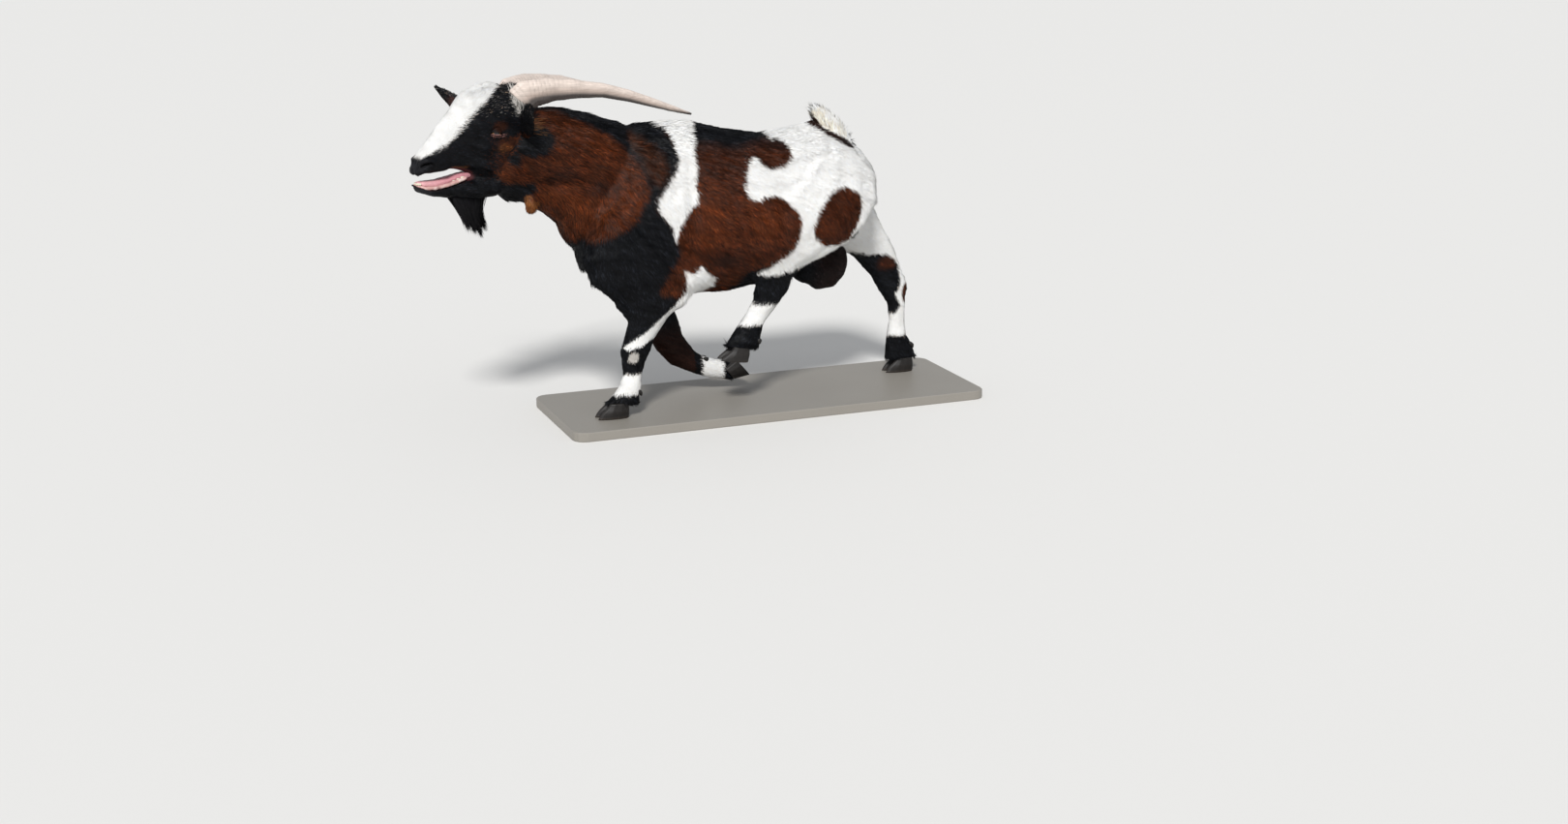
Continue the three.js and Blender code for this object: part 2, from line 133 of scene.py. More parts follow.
def applyModifier(piece, kind, **settings):
    modifier = piece.modifiers.new(kind.title(), kind)
    for key, value in settings.items():
        setattr(modifier, key, value)
    select(piece)
    bpy.ops.object.modifier_apply(modifier=modifier.name)


def editMesh(piece, *steps):
    # runs edit-mode operators, each with its settings
    select(piece)
    bpy.ops.object.mode_set(mode="EDIT")
    for operator, settings in steps:
        operator(**settings)
    bpy.ops.object.mode_set(mode="OBJECT")


def editAll(piece, operator, **settings):
    editMesh(piece, (bpy.ops.mesh.select_all, {"action": "SELECT"}), (operator, settings))


def joinPieces(pieces, name):
    select(*pieces)
    bpy.ops.object.join()
    pieces[0].name = pieces[0].data.name = name
    return pieces[0]


def copyOfNodes(names, grow=0):
    # one mesh of merged copies of CAD nodes, each a little swollen so that neighbours overlap
    copies = []
    for name in names:
        copy = addPiece("copy", nodes[name].data.copy())
        editAll(copy, bpy.ops.mesh.remove_doubles, threshold=0.00001)
        editAll(copy, bpy.ops.mesh.normals_make_consistent, inside=False)
        if grow:
            setPoints(copy, getPoints(copy) + getNormals(copy) * grow * mm)
        copies.append(copy)
    select(*copies)
    if len(copies) > 1:
        bpy.ops.object.join()
    return copies[0]


def readMesh(items, what, width, kind=np.float64):
    values = np.empty(len(items) * width, kind)
    items.foreach_get(what, values)
    return values.reshape(-1, width)


def getPoints(piece):
    return readMesh(piece.data.vertices, "co", 3)


def setPoints(piece, points):
    piece.data.vertices.foreach_set("co", np.asarray(points, np.float32).ravel())
    piece.data.update()


def getNormals(piece):
    return readMesh(piece.data.vertices, "normal", 3)


def getEdges(piece):
    return readMesh(piece.data.edges, "vertices", 2, np.int32)


def neighbourMean(values, edges):
    count = len(values)
    total = np.empty_like(values)
    for axis in range(values.shape[1]):
        total[:, axis] = (
            np.bincount(edges[:, 0], values[edges[:, 1], axis], count)
            + np.bincount(edges[:, 1], values[edges[:, 0], axis], count))
    return total / np.maximum(np.bincount(edges.ravel(), minlength=count), 1)[:, None]


def smoothSkin(piece, rounds, amount=1.0):
    # a push after each pull keeps thick and thin parts at their size
    points, edges = getPoints(piece), getEdges(piece)
    for _ in range(rounds):
        for pull in (0.5, -0.53):
            points = points + pull * np.reshape(amount, (-1, 1)) * (neighbourMean(points, edges) - points)
    setPoints(piece, points)


def pushed(points, normals, amount):
    # points moved along their normals by an amount in millimetres
    return points + normals * (amount * mm)[:, None]


def columns(*values):
    return np.stack(np.broadcast_arrays(*values), 1)


def mirrored(place, side):
    # a place given for the right side, on the side asked for
    return np.array(place, float) * (1, side, 1)


def faceAxes(head):
    # from the poll to the nose, out to either side, and up
    return -head[:, 0], np.abs(head[:, 1]), head[:, 2]


def unit(vectors):
    return vectors / np.maximum(np.linalg.norm(vectors, axis=-1, keepdims=True), 1e-9)


def ramp(values, low, high):
    t = np.clip((values - low) / (high - low), 0, 1)
    return t * t * (3 - 2 * t)


def within(values, full, none):
    # 1 where the value is nearer to 0 than full, and 0 past none
    return ramp(-np.abs(values), -none, -full)


def bell(values, size):
    return np.exp(-(values / size) ** 2)


def blob(points, middle, reach):
    return np.exp(-(((points - np.array(middle)) / reach) ** 2).sum(1))


def setColour(piece, name, colour):
    attribute = piece.data.color_attributes.new(name, "FLOAT_COLOR", "POINT")
    rgba = np.hstack([colour, np.ones((len(colour), 1))])
    attribute.data.foreach_set("color", rgba.astype(np.float32).ravel())


def plainColour(hexText, count):
    return np.tile(linear(hexText), (count, 1))


def mixColour(first, second, share):
    return first + (np.array(linear(second)) - first) * share[:, None]


def smoothMaterial(name, attribute, **settings):
    # the colour painted on the piece
    material, tree, shader = newMaterial(name, **settings)
    colour = addNode(tree, "ShaderNodeVertexColor", layer_name=attribute)
    tree.links.new(colour.outputs["Color"], shader.inputs["Base Color"])
    return material, tree, shader


def grainMaterial(name, attribute, look, uvMap=None, **settings):
    # the painted colour broken up by a fine grain that stands out a little
    material, tree, shader = newMaterial(name, **settings)
    colour = addNode(tree, "ShaderNodeVertexColor", layer_name=attribute)
    if uvMap:
        place = addNode(tree, "ShaderNodeUVMap", uv_map=uvMap).outputs["UV"]
    else:
        place = addNode(tree, "ShaderNodeTexCoord").outputs["Object"]
    mapping = addNode(tree, "ShaderNodeMapping", {"Vector": place}, in_Scale=look["grain"])
    grain = addNode(tree, "ShaderNodeTexNoise", {"Vector": mapping.outputs["Vector"]}, in_Scale=1.0,
                    in_Detail=look["detail"])
    shade = addNode(tree, "ShaderNodeMapRange", {"Value": grain.outputs["Fac"]}, in_From_Min=0.3,
                    in_From_Max=0.7, in_To_Min=look["shades"][0], in_To_Max=look["shades"][1])
    tint = addNode(tree, "ShaderNodeVectorMath",
                   {0: colour.outputs["Color"], "Scale": shade.outputs["Result"]}, operation="SCALE")
    tree.links.new(tint.outputs["Vector"], shader.inputs["Base Color"])
    strength, height = look["bump"]
    bump = addNode(tree, "ShaderNodeBump", {"Height": grain.outputs["Fac"]}, in_Strength=strength,
                   in_Distance=height * mm)
    tree.links.new(bump.outputs["Normal"], shader.inputs["Normal"])
    return material


def finish(piece, attribute, colour, material, *replaced):
    setColour(piece, attribute, colour)
    piece.data.materials.clear()
    piece.data.materials.append(material)
    piece.data.shade_smooth()
    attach(piece, "root")
    if replaced:
        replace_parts(piece, *replaced)


def remeshed(names, name, voxel, rounds, grow=0):
    # a fine even mesh over copies of CAD nodes, smoothed
    piece = copyOfNodes(names, grow)
    applyModifier(piece, "REMESH", mode="VOXEL", voxel_size=voxel * mm, adaptivity=0)
    smoothSkin(piece, rounds)
    piece.name = piece.data.name = name
    return piece


def wander(points, size, phase=0.0):
    # smooth unevenness from -1 to 1, features of about the given size in the points' units
    p = np.asarray(points) * (2 * math.pi / size) + phase
    x, y, z = p[:, 0], p[:, 1], p[:, 2]
    return (np.sin(x + 1.7 * np.sin(0.7 * y + 0.3)) + np.sin(0.9 * y + 1.9 * np.sin(0.8 * z + 1.1))
            + np.sin(1.1 * z + 1.5 * np.sin(0.6 * x + 2.3))) / 3


# the CAD nodes that the skin covers; a point's region is the place of its node in this list
headNames = ["head", "lower_jaw", "ear_left", "ear_right"]
legParts = {"front": ("shoulder", "forearm", "cannon"), "hind": ("thigh", "gaskin", "cannon")}
regionNames = headNames + ["neck", "trunk", "tail", "scrotum", "wattle_left", "wattle_right"] + [
    f"{end}_{side}_{part}" for end, parts in legParts.items() for side in ("left", "right") for part in parts]
headRegions = [regionNames.index(name) for name in headNames]

# the markings are outlines on the goat's two sides, x and z in millimetres
coatColours = {
    "brown": "3f1e0d", "darkBrown": "24120c", "tan": "8d5c34", "umber": "351c0f", "rust": "582a10",
    # mouth is a dark red holding painted shade inside the mouth, and pit paints the nostrils' slits nearly
    # black as shade
    "black": "0a0b0e", "white": "f7f4ef", "grey": "c2bdb6", "pink": "c98f86", "mouth": "4c2628",
    "pad": "1f1f22", "pit": "040405",
}
blackFront = [
    (-440, 660), (-425, 598), (-375, 590), (-352, 580), (-308, 564), (-260, 538), (-228, 509), (-207, 481),
    (-196, 450), (-201, 428), (-215, 408), (-235, 386), (-264, 369), (-296, 357), (-330, 352), (-400, 320),
    (-400, 100), (-60, 100), (-120, 225), (-178, 247), (-164, 287), (-140, 320), (-147, 349), (-155, 371),
    (-170, 392), (-182, 406), (-180, 425), (-165, 446), (-144, 467), (-133, 490), (-136, 514), (-150, 541),
    (-180, 660),
]
shoulderStripe = [
    (-182, 660), (-176, 560), (-150, 541), (-136, 514), (-133, 490), (-144, 466), (-165, 445), (-180, 425),
    (-182, 406), (-170, 392), (-155, 370), (-147, 347), (-138, 372), (-123, 396), (-101, 419), (-104, 442),
    (-100, 464), (-99, 492), (-98, 515), (-94, 545), (-86, 660),
]
innerPatch = [
    (-221, 540), (-192, 525), (-165, 505), (-156, 480), (-166, 458), (-183, 453), (-198, 478), (-212, 512),
]
rumpWhite = [
    (50, 660), (60, 525), (74, 516), (90, 505), (97, 488), (82, 474), (53, 468), (31, 476), (17, 489),
    (0, 468), (-9, 441), (-1, 416), (20, 414), (50, 421), (79, 402), (99, 377), (96, 343), (77, 310),
    (47, 289), (24, 266), (84, 271), (142, 284), (196, 288), (300, 262), (400, 200), (420, 500), (300, 660),
]
stifleBlack = [(-6, 262), (24, 280), (84, 288), (142, 298), (196, 300), (240, 270), (230, 190), (-6, 190)]
thighPatch = [
    (163, 417), (190, 428), (214, 422), (231, 402), (229, 366), (211, 332), (178, 315), (142, 320),
    (126, 350), (138, 388),
]
elbowWhite = [
    (-131, 288), (-118, 281), (-108, 286), (-96, 295), (-86, 279), (-62, 266), (-66, 248), (-84, 224),
    (-108, 194), (-136, 172), (-165, 163), (-194, 152), (-214, 142), (-236, 135), (-240, 143), (-204, 168),
    (-172, 194), (-152, 216), (-136, 240), (-130, 262),
]
blackSaddle = [
    (-110, 660), (-104, 520), (-97, 514), (-58, 508), (-17, 500), (45, 507), (100, 512), (100, 660),
]
blackThroat = [
    (-540, 480), (-472, 465), (-446, 466), (-410, 463), (-404, 450), (-412, 438), (-428, 424), (-470, 410),
    (-540, 410),
]
hindRightBlack = [
    (225, 262), (279, 263), (314, 257), (362, 253), (386, 232), (391, 196), (387, 180), (379, 170),
    (392, 150), (390, 139), (381, 129), (366, 126), (330, 118), (225, 170),
]
# the right side has the same kinds of patches, each in its own place
farStripe = [
    (-182, 660), (-176, 560), (-160, 525), (-150, 480), (-160, 430), (-150, 400), (-128, 420), (-104, 470),
    (-98, 520), (-90, 560), (-86, 660),
]
farBlackFront = [
    (-440, 660), (-420, 590), (-350, 570), (-290, 540), (-240, 500), (-225, 455), (-240, 405), (-275, 368),
    (-330, 350), (-400, 320), (-400, 100), (-60, 100), (-110, 225), (-150, 270), (-140, 330), (-150, 400),
    (-160, 430), (-150, 480), (-160, 525), (-180, 660),
]
farRump = [
    (50, 660), (60, 530), (40, 500), (8, 478), (14, 440), (50, 430), (70, 395), (60, 350), (85, 310),
    (60, 270), (60, 245), (130, 250), (420, 200), (420, 500), (300, 660),
]
farThighPatch = [(150, 455), (200, 462), (232, 430), (225, 390), (180, 372), (142, 392), (132, 425)]

# each leg's bands of colour: the height below which it begins, in the goat's frame
legBands = {
    "front_left": [(150, "black"), (86, "white"), (48, "black")],
    "hind_left": [(262, "black"), (206, "white"), (165, "black")],
    "hind_right": [(262, "white"), (82, "black")],
}
# ears in the head's frame: root, tip, and the way the hollow faces
ears = {
    "ear_left": ((-12, -44, 6), (-46, -124, 66), (-1, -0.2, 0.2)),
    "ear_right": ((-28, 43, -2), (-102, 110, 84), (-0.74, -0.37, -0.56)),
}
# where the brown is brighter and where it is deeper: middle, reach, colour and amount
brownTones = [
    ((-376, 436), (46, 28), "rust", 0.7), ((-226, 420), (26, 44), "rust", 0.7),
    ((-300, 410), (50, 30), "rust", 0.5), ((-80, 378), (34, 60), "rust", 0.75),
    ((20, 372), (60, 46), "rust", 0.6), ((-280, 520), (60, 30), "rust", 0.3),
    ((-364, 478), (30, 15), "darkBrown", 0.8), ((-286, 446), (26, 13), "darkBrown", 0.7),
    ((-50, 300), (40, 24), "darkBrown", 0.8), ((-60, 474), (80, 30), "darkBrown", 0.4),
    ((60, 320), (44, 20), "darkBrown", 0.4),
]


def outlineDistance(x, z, outline, steps=5):
    # signed distance to a closed smooth curve through the outline's points, positive inside
    knots = np.array(outline, float)
    before, after, beyond = np.roll(knots, 1, 0), np.roll(knots, -1, 0), np.roll(knots, -2, 0)
    curve = []
    for t in np.arange(steps) / steps:
        square = 2 * before - 5 * knots + 4 * after - beyond
        cube = 3 * knots - before - 3 * after + beyond
        curve.append(0.5 * (2 * knots + (after - before) * t + square * t ** 2 + cube * t ** 3))
    curve = np.stack(curve, 1).reshape(-1, 2)
    nearest = np.full(len(x), 1e9)
    inside = np.zeros(len(x), bool)
    for (x1, z1), (x2, z2) in zip(curve, np.roll(curve, -1, 0)):
        dx, dz = x2 - x1, z2 - z1
        t = np.clip(((x - x1) * dx + (z - z1) * dz) / (dx * dx + dz * dz + 1e-9), 0, 1)
        nearest = np.minimum(nearest, np.hypot(x - x1 - t * dx, z - z1 - t * dz))
        if z1 != z2:
            inside ^= ((z1 > z) != (z2 > z)) & (x < dx * (z - z1) / dz + x1)
    return np.where(inside, nearest, -nearest)


def earHollow(head, region):
    # 1 in the bare hollow of each ear
    inside = np.zeros(len(head))
    for name, (root, tip, opening) in ears.items():
        root, tip = np.array(root, float), np.array(tip, float)
        along = unit(tip - root)
        share = (head - root) @ along / np.linalg.norm(tip - root)
        offset = head - root - share[:, None] * (tip - root)
        across = unit(np.cross(opening, along))
        deep = offset @ np.cross(along, across)
        hollow = ramp(share, 0.05, 0.2) * ramp(-share, -0.8, -0.5) * within(offset @ across, 8, 15)
        inside += (region == regionNames.index(name)) * hollow * (deep > -6)
    return inside


def coatColour(points, region, fleck=0.5):
    # the colour of each root point, the same for the skin and for the hair that grows there;
    # fleck is a share from 0 to 1 that scatters two colours where they mingle
    goat = toGoat(points)
    head = toHead(points)
    shifted = goat + 1.5 * np.stack([wander(goat, 24, k) for k in (0.0, 2.1, 4.4)], 1)
    x, y, z = shifted.T
    left = y < 0
    colour = plainColour(coatColours["brown"], len(points))

    def paint(name, amount):
        nonlocal colour
        colour = mixColour(colour, coatColours[name], np.clip(amount, 0, 1))

    def patch(name, near, far, soft=3.0):
        # near is the left side's outline and far the right side's, if it has the patch
        distance = outlineDistance(x, z, near)
        if far is None:
            distance = np.where(left, distance, -soft)
        elif far is not near:
            distance = np.where(left, distance, outlineDistance(x, z, far))
        paint(name, 0.5 + distance / soft)

    for (midX, midZ), (reachX, reachZ), name, much in brownTones:
        paint(name, much * np.exp(-((x - midX) / reachX) ** 2 - ((z - midZ) / reachZ) ** 2))
    patch("black", blackFront, farBlackFront, 9)
    patch("umber", innerPatch, None, 16)
    patch("black", blackSaddle, blackSaddle, 26)
    patch("white", shoulderStripe, farStripe)
    paint("black", left * ramp(outlineDistance(x, z, stifleBlack), -6, 3))
    patch("white", rumpWhite, farRump)
    patch("brown", thighPatch, farThighPatch)
    patch("white", elbowWhite, None)
    paint("black", ramp(-z, -240, -228) * ramp(x, 20, 50) * within(y, 30, 50))
    patch("black", blackThroat, blackThroat, 8)
    # legs
    leg = np.array(regionNames)[region]
    upper = np.char.endswith(leg, "shoulder") | np.char.endswith(leg, "thigh")

    def lower(foot):
        return np.char.startswith(leg, foot) & ~upper

    for foot, bands in legBands.items():
        for top, name in bands:
            paint(name, lower(foot) * ramp(-z, -top - 2, -top + 3))
    paint("black", lower("front_right") * 1.0)
    paint("white", lower("front_right") * ramp(x, -46, -42) * ramp(-x, -2, 2) * (z < 110))
    paint("white", (leg == "front_left_forearm") * (outlineDistance(x, z, elbowWhite) > 0))
    knee = np.char.startswith(leg, "front_left") & (y < -60)
    paint("grey", knee * within(np.hypot((x + 226) / 11, (z - 120) / 10), 0.85, 1.1))
    farHind = lower("hind_right")
    paint("black", farHind * (0.5 + outlineDistance(x, z, hindRightBlack) / 3))
    paint("brown", farHind * 0.7 * within(np.hypot((x - 360) / 1.5, z - 236), 8, 20))
    paint("brown", farHind * within(np.hypot((x - 408) / 12, (z - 172) / 22), 0.8, 1.1))
    # scrotum, tail and wattles, and black hair with the near ear's painted shadow on the neck
    paint("black", (leg == "scrotum") * 1.0)
    paint("darkBrown", (leg == "scrotum") * 0.5 * ramp(x, 150, 190))
    paint("brown", (leg == "front_right_forearm") * 0.35 * ramp(-z, -160, -110))
    paint("white", (leg == "tail") * 1.0)
    rootLine = 541 - (x - 153) * 0.517  # where the tail leaves the rump, a dark seam
    seam = within(z - rootLine + 4, 5, 8) * (x > 150) * (x < 242) * (z > 484)
    paint("darkBrown", seam * within(y, 50, 64))
    paint("tan", np.char.startswith(leg, "wattle") * 0.45)
    # black hair behind and below the near ear, with the ear's painted shadow on the neck
    earShadowBehind = within(np.hypot((x + 414) / 42, (z - 541) / 27), 0.9, 1.08)
    earShadowBelow = within(np.hypot((x + 447) / 9, (z - 512) / 15), 0.8, 1.1)
    paint("black", (leg == "neck") * left * np.maximum(earShadowBehind, earShadowBelow))
    # head: black with a white blaze, brown about the eyes and on the lower cheek
    onHead = np.isin(region, headRegions)
    u, v, w = faceAxes(head)
    w = w + 1.5 * wander(head, 17)
    paint("black", onHead * 1.0)
    paint("brown", onHead * 0.55 * within(np.hypot((u - 66) / 1.5, w - 24), 6, 13))
    paint("tan", onHead * 0.6 * within(np.hypot((u - 58) / 1.6, w + 16), 4, 12))
    cheek = 0.92 * ramp(-u, -104, -34) * ramp(w, -78, -62) * ramp(-w, -12, 4)
    paint("brown", onHead * ramp(cheek - fleck, -0.04, 0.04) * 0.9)
    edge = np.interp(u, [56, 70, 88, 110, 130, 150, 175, 198, 214], [12, 24, 31, 33, 29, 26, 24, 20, 12])
    low = np.interp(u, [56, 110, 126, 152, 175, 199, 214], [40, 46, 32, 10, -9, -26, -36])
    blaze = ramp(edge - v, -1.5, 1.5) * ramp(w - low, -6, 0) * ramp(u, 50, 56) * ramp(-u, -217, -212)
    paint("white", onHead * blaze)
    # bare skin of the nose and the lower lip, the nostrils' slits nearly black as painted shade, and the
    # mouth's inside in a dark red that holds painted shade
    paint("pad", onHead * ramp(u, 200, 212) * ramp(-w, 22, 30))
    paint("pad", onHead * ramp(u, 190, 196) * ramp(-w, 62, 64) * ramp(w, -94, -86))
    paint("pit", onHead * ramp(nostrils(head)[0], 0.25, 0.5))
    paint("mouth", onHead * mouthInside(head))
    # pale hairs at the roots of the horns, and a tan line along the edge of the upper lip that is a painted
    # highlight
    paint("grey", onHead * ramp(0.9 * within(np.hypot(u - 19, v - 31), 6, 20) - fleck, -0.1, 0.1) * (w > 40))
    lipHighlight = within(w + 46 - (u - 140) * 0.03, 1.0, 2.2) * ramp(u, 122, 128) * ramp(-u, -160, -150)
    paint("tan", onHead * 0.6 * lipHighlight * (v > 14) * (w > -50))
    # pink lines along the lower lids, and black lines past the eyes' corners that are painted shade in the
    # creases there
    for side in (-1, 1):
        across, up, out = inEye(points, side).T
        bow = up - 0.012 * (across - 2) ** 2
        for place, much in ((-2.2, 0.6), (-5.6, 0.35)):
            line = within(bow - place, 0.4, 0.9) * within(across - 4, 10, 18)
            paint("pink", onHead * much * line * (out > 0))
        corner = within(up + 0.1 * np.abs(across), 0.6, 1.4) * within(across, 20, 25)
        paint("black", onHead * corner * (out > -6) * (np.abs(across) > 10))
    paint("pink", (leg == "ear_right") * 0.3 * earHollow(head, region))
    return colour


def nearestRegion(points):
    # which CAD node each point lies nearest to
    corners, faces, owner = [], [], []
    for index, name in enumerate(regionNames):
        mesh = nodes[name].data
        start = len(corners)
        corners.extend(v.co.copy() for v in mesh.vertices)
        for face in mesh.polygons:
            faces.append([start + i for i in face.vertices])
            owner.append(index)
    tree = BVHTree.FromPolygons(corners, faces)
    return np.array([owner[tree.find_nearest(Vector(p))[2]] for p in points])


skinLook = {
    "voxel": 4.2, "earVoxel": 1.7, "overlap": 0.5,  # millimetres
    "smoothing": 36, "bagSmoothing": 110, "throatSmoothing": 40, "earSmoothing": 14,  # rounds
    "fineSmoothing": 3, "eyeSmoothing": 2, "depthRounds": 8, "tailFirmness": 0.45,
    "foldHeight": 1.9, "ribHeight": 0.9,  # millimetres
    "eyeFine": 27, "muzzleFrom": -188,  # where the mesh is made finer, in the head's frame
    "triangles": 170000,
    "depth": {  # how deep the coat lies over the skin, in millimetres
        "head": 1.4, "lower_jaw": 1.4, "ear": 0.9, "neck": 4.5, "trunk": 3.5, "tail": 8, "scrotum": 1.2,
        "wattle": 0.9, "shoulder": 3.2, "thigh": 3, "forearm": 1.8, "gaskin": 1.8, "cannon": 1.2,
    },
}
# muscles and bones under the skin: middle, reach and height, the same on both sides of the body
bodyForms = [
    ((-262, 96, 374), (46, 60, 42), 7),  # point of the shoulder
    ((-108, 108, 395), (13, 60, 74), -5),  # groove behind the shoulder
    ((-112, 104, 264), (24, 40, 20), 6),  # elbow
    ((-192, 74, 486), (22, 50, 52), 3.5),  # spine of the shoulder blade
    ((-215, 70, 455), (16, 50, 50), -2.5),
    ((95, 108, 446), (40, 50, 38), -6),  # hollow of the flank
    ((126, 82, 500), (26, 34, 22), 3.5),  # hip bone
    ((268, 40, 452), (22, 30, 24), 3),  # pin bone
    ((190, 100, 385), (56, 60, 44), 3),  # thigh
    ((66, 104, 352), (14, 50, 60), -3.5),  # fold of the flank in front of the thigh
    ((-330, 0, 352), (34, 34, 26), 6),  # breast
    ((188, 0, 215), (16, 26, 12), 4), ((148, 0, 230), (18, 26, 14), 3.5),  # scrotum
    ((220, 0, 233), (14, 26, 16), 3),
    ((-350, 60, 520), (70, 40, 18), 3),  # top line of the neck muscles
    ((-350, 64, 455), (70, 40, 12), -3),  # groove along the neck
]
legForms = [
    ((30, -112, 300), (32, 40, 28), 6), ((152, 104, 345), (34, 40, 28), 5),  # stifles
    ((-122, -92, 220), (26, 36, 32), 9),  # back of the near forearm
    ((-216, -64, 142), (18, 26, 17), 2.5), ((-205, -64, 172), (14, 20, 12), -1.5),  # near knee
    ((-128, 66, 118), (22, 26, 20), 2.5),  # folded knee
    ((48, -72, 196), (14, 22, 16), 2.5), ((404, 66, 190), (14, 22, 18), 3),  # points of the hocks
    ((-226, -62, 56), (18, 24, 12), 2), ((-226, -62, 84), (12, 22, 10), -1.2),  # near fore fetlock
    ((393, 63, 80), (18, 24, 13), 2), ((-4, -72, 128), (16, 24, 13), 2), ((-46, 60, 62), (16, 22, 13), 2),
    ((74, -74, 232), (9, 14, 24), -3), ((372, 74, 232), (9, 14, 26), -3),  # hollows before the hock tendons
    ((-208, -74, 105), (5, 9, 26), -1.6), ((-208, -50, 105), (5, 9, 26), -1.6),  # tendon grooves
    ((398, 74, 115), (5, 9, 30), -1.6), ((398, 52, 115), (5, 9, 30), -1.6),
]
# the same for the head, in its own frame, on both sides
headForms = [
    ((-42, 47, -36), (26, 22, 27), 5),  # cheek muscle
    ((-70, 42, 31), (26, 18, 8), 4.5),  # brow
    ((-100, 40, 10), (12, 16, 12), -3.5),  # hollow before the eye
    ((-72, 46, -13), (36, 16, 7), 2.6),  # cheek bone
    ((-110, 38, -36), (30, 20, 12), -3),  # side of the face below it
    ((-146, 30, 6), (26, 16, 13), -3.2),  # side of the nose
    ((-150, 0, 40), (48, 13, 14), 2.5),  # bridge of the nose
    ((-202, 20, -29), (12, 12, 9), 3.2),  # wing of the nostril
    ((-170, 21, -45), (20, 9, 8), 6),  # edge of the upper lip
    ((-205, 8, -60), (11, 16, 7), -3),  # underside of the nose
    ((-222, 0, -52), (8, 2.6, 10), -2.4),  # cleft of the lip
    ((-208, 10, -83), (9, 8, 7), 2.5),  # lower lip beside the middle
    ((-112, 26, -58), (13, 12, 6), -2.4),  # corner of the mouth
    ((-50, 0, 92), (22, 24, 14), 3),  # poll
]
eyeLook = {
    "centre": (-69, 37.5, 10), "radius": 11.4, "lid": 1.7, "outward": (-0.33, 0.92, 0.14),
    "halfWidth": 12.2, "upper": 1.9, "lower": 1.2, "tilt": -0.16, "rim": 16.5,
}


def swell(points, normals, local, forms, bothSides):
    amount = np.zeros(len(points))
    for middle, reach, height in forms:
        for side in ((-1, 1) if bothSides else (1,)):
            amount += height * blob(local, mirrored(middle, side), reach)
            if bothSides and middle[1] == 0:
                break
    return pushed(points, normals, amount)


def refine(piece, chosen):
    # splits the faces whose corners are all chosen
    faces = np.array([all(chosen[i] for i in face.vertices) for face in piece.data.polygons])
    editMesh(piece, (bpy.ops.mesh.select_mode, {"type": "FACE"}),
             (bpy.ops.mesh.select_all, {"action": "DESELECT"}))
    piece.data.polygons.foreach_set("select", faces)
    editMesh(piece, (bpy.ops.mesh.subdivide, {"number_cuts": 1, "quadcorner": "INNERVERT"}))


def eyeFrame(side):
    # across the eye from its inner corner back, up, and outward
    out = unit(mirrored(eyeLook["outward"], side))
    across = unit(np.array([1.0, 0, eyeLook["tilt"]]) - out * np.dot([1.0, 0, eyeLook["tilt"]], out))
    up = np.cross(out, across) * side
    return across, up * np.sign(up[2]), out


def inEye(points, side):
    return (toHead(points) - mirrored(eyeLook["centre"], side)) @ np.array(eyeFrame(side)).T


def outOfEye(local, side):
    return fromHead(local @ np.array(eyeFrame(side)) + mirrored(eyeLook["centre"], side))


def lidEdge(a, upper):
    bow = np.clip(1 - (a / eyeLook["halfWidth"]) ** 2, 0, 1)
    return eyeLook["upper"] * bow ** 0.45 if upper else -eyeLook["lower"] * bow ** 0.45


def shapeLids(skin, side):
    # the lids lie over the ball as a thin shell, with creases above and below the opening
    points = getPoints(skin)
    local = inEye(points, side)
    a, b, out = local.T
    reach = np.hypot(a, b)
    near = (reach < eyeLook["rim"]) & (out > 0)
    shell = np.sqrt(np.clip((eyeLook["radius"] + eyeLook["lid"]) ** 2 - reach ** 2, 0, None))
    target = np.maximum(shell, out * ramp(reach, 4, 15))
    out = np.where(near, out + (target - out) * (1 - ramp(reach, 8.5, eyeLook["rim"])), out)
    crease = -1.1 * bell(b - 7.2 + 0.02 * a * a, 1.1) * bell(a - 1, 12)  # fold of the upper lid
    for drop, depth, place in ((-5.2, 0.8, 3), (-7.8, 0.9, 5), (-10.6, 0.7, 6)):  # wrinkles below
        crease -= depth * bell(b - drop - 0.012 * (a - place) ** 2, 0.8) * bell(a - place, 9)
    crease -= 1.6 * bell(b + 0.6 + 0.12 * (a + 17), 1.2) * bell(a + 17, 5)  # tear duct
    crease -= 1.0 * bell(b + 1.5, 1.0) * bell(a - 18, 6)  # outer corner's fold
    aroundEye = (local[:, 2] > 0) & (reach < 30)
    moved = outOfEye(columns(a, b, out + np.where(aroundEye, crease, 0)), side)
    setPoints(skin, np.where(aroundEye[:, None], moved, points))


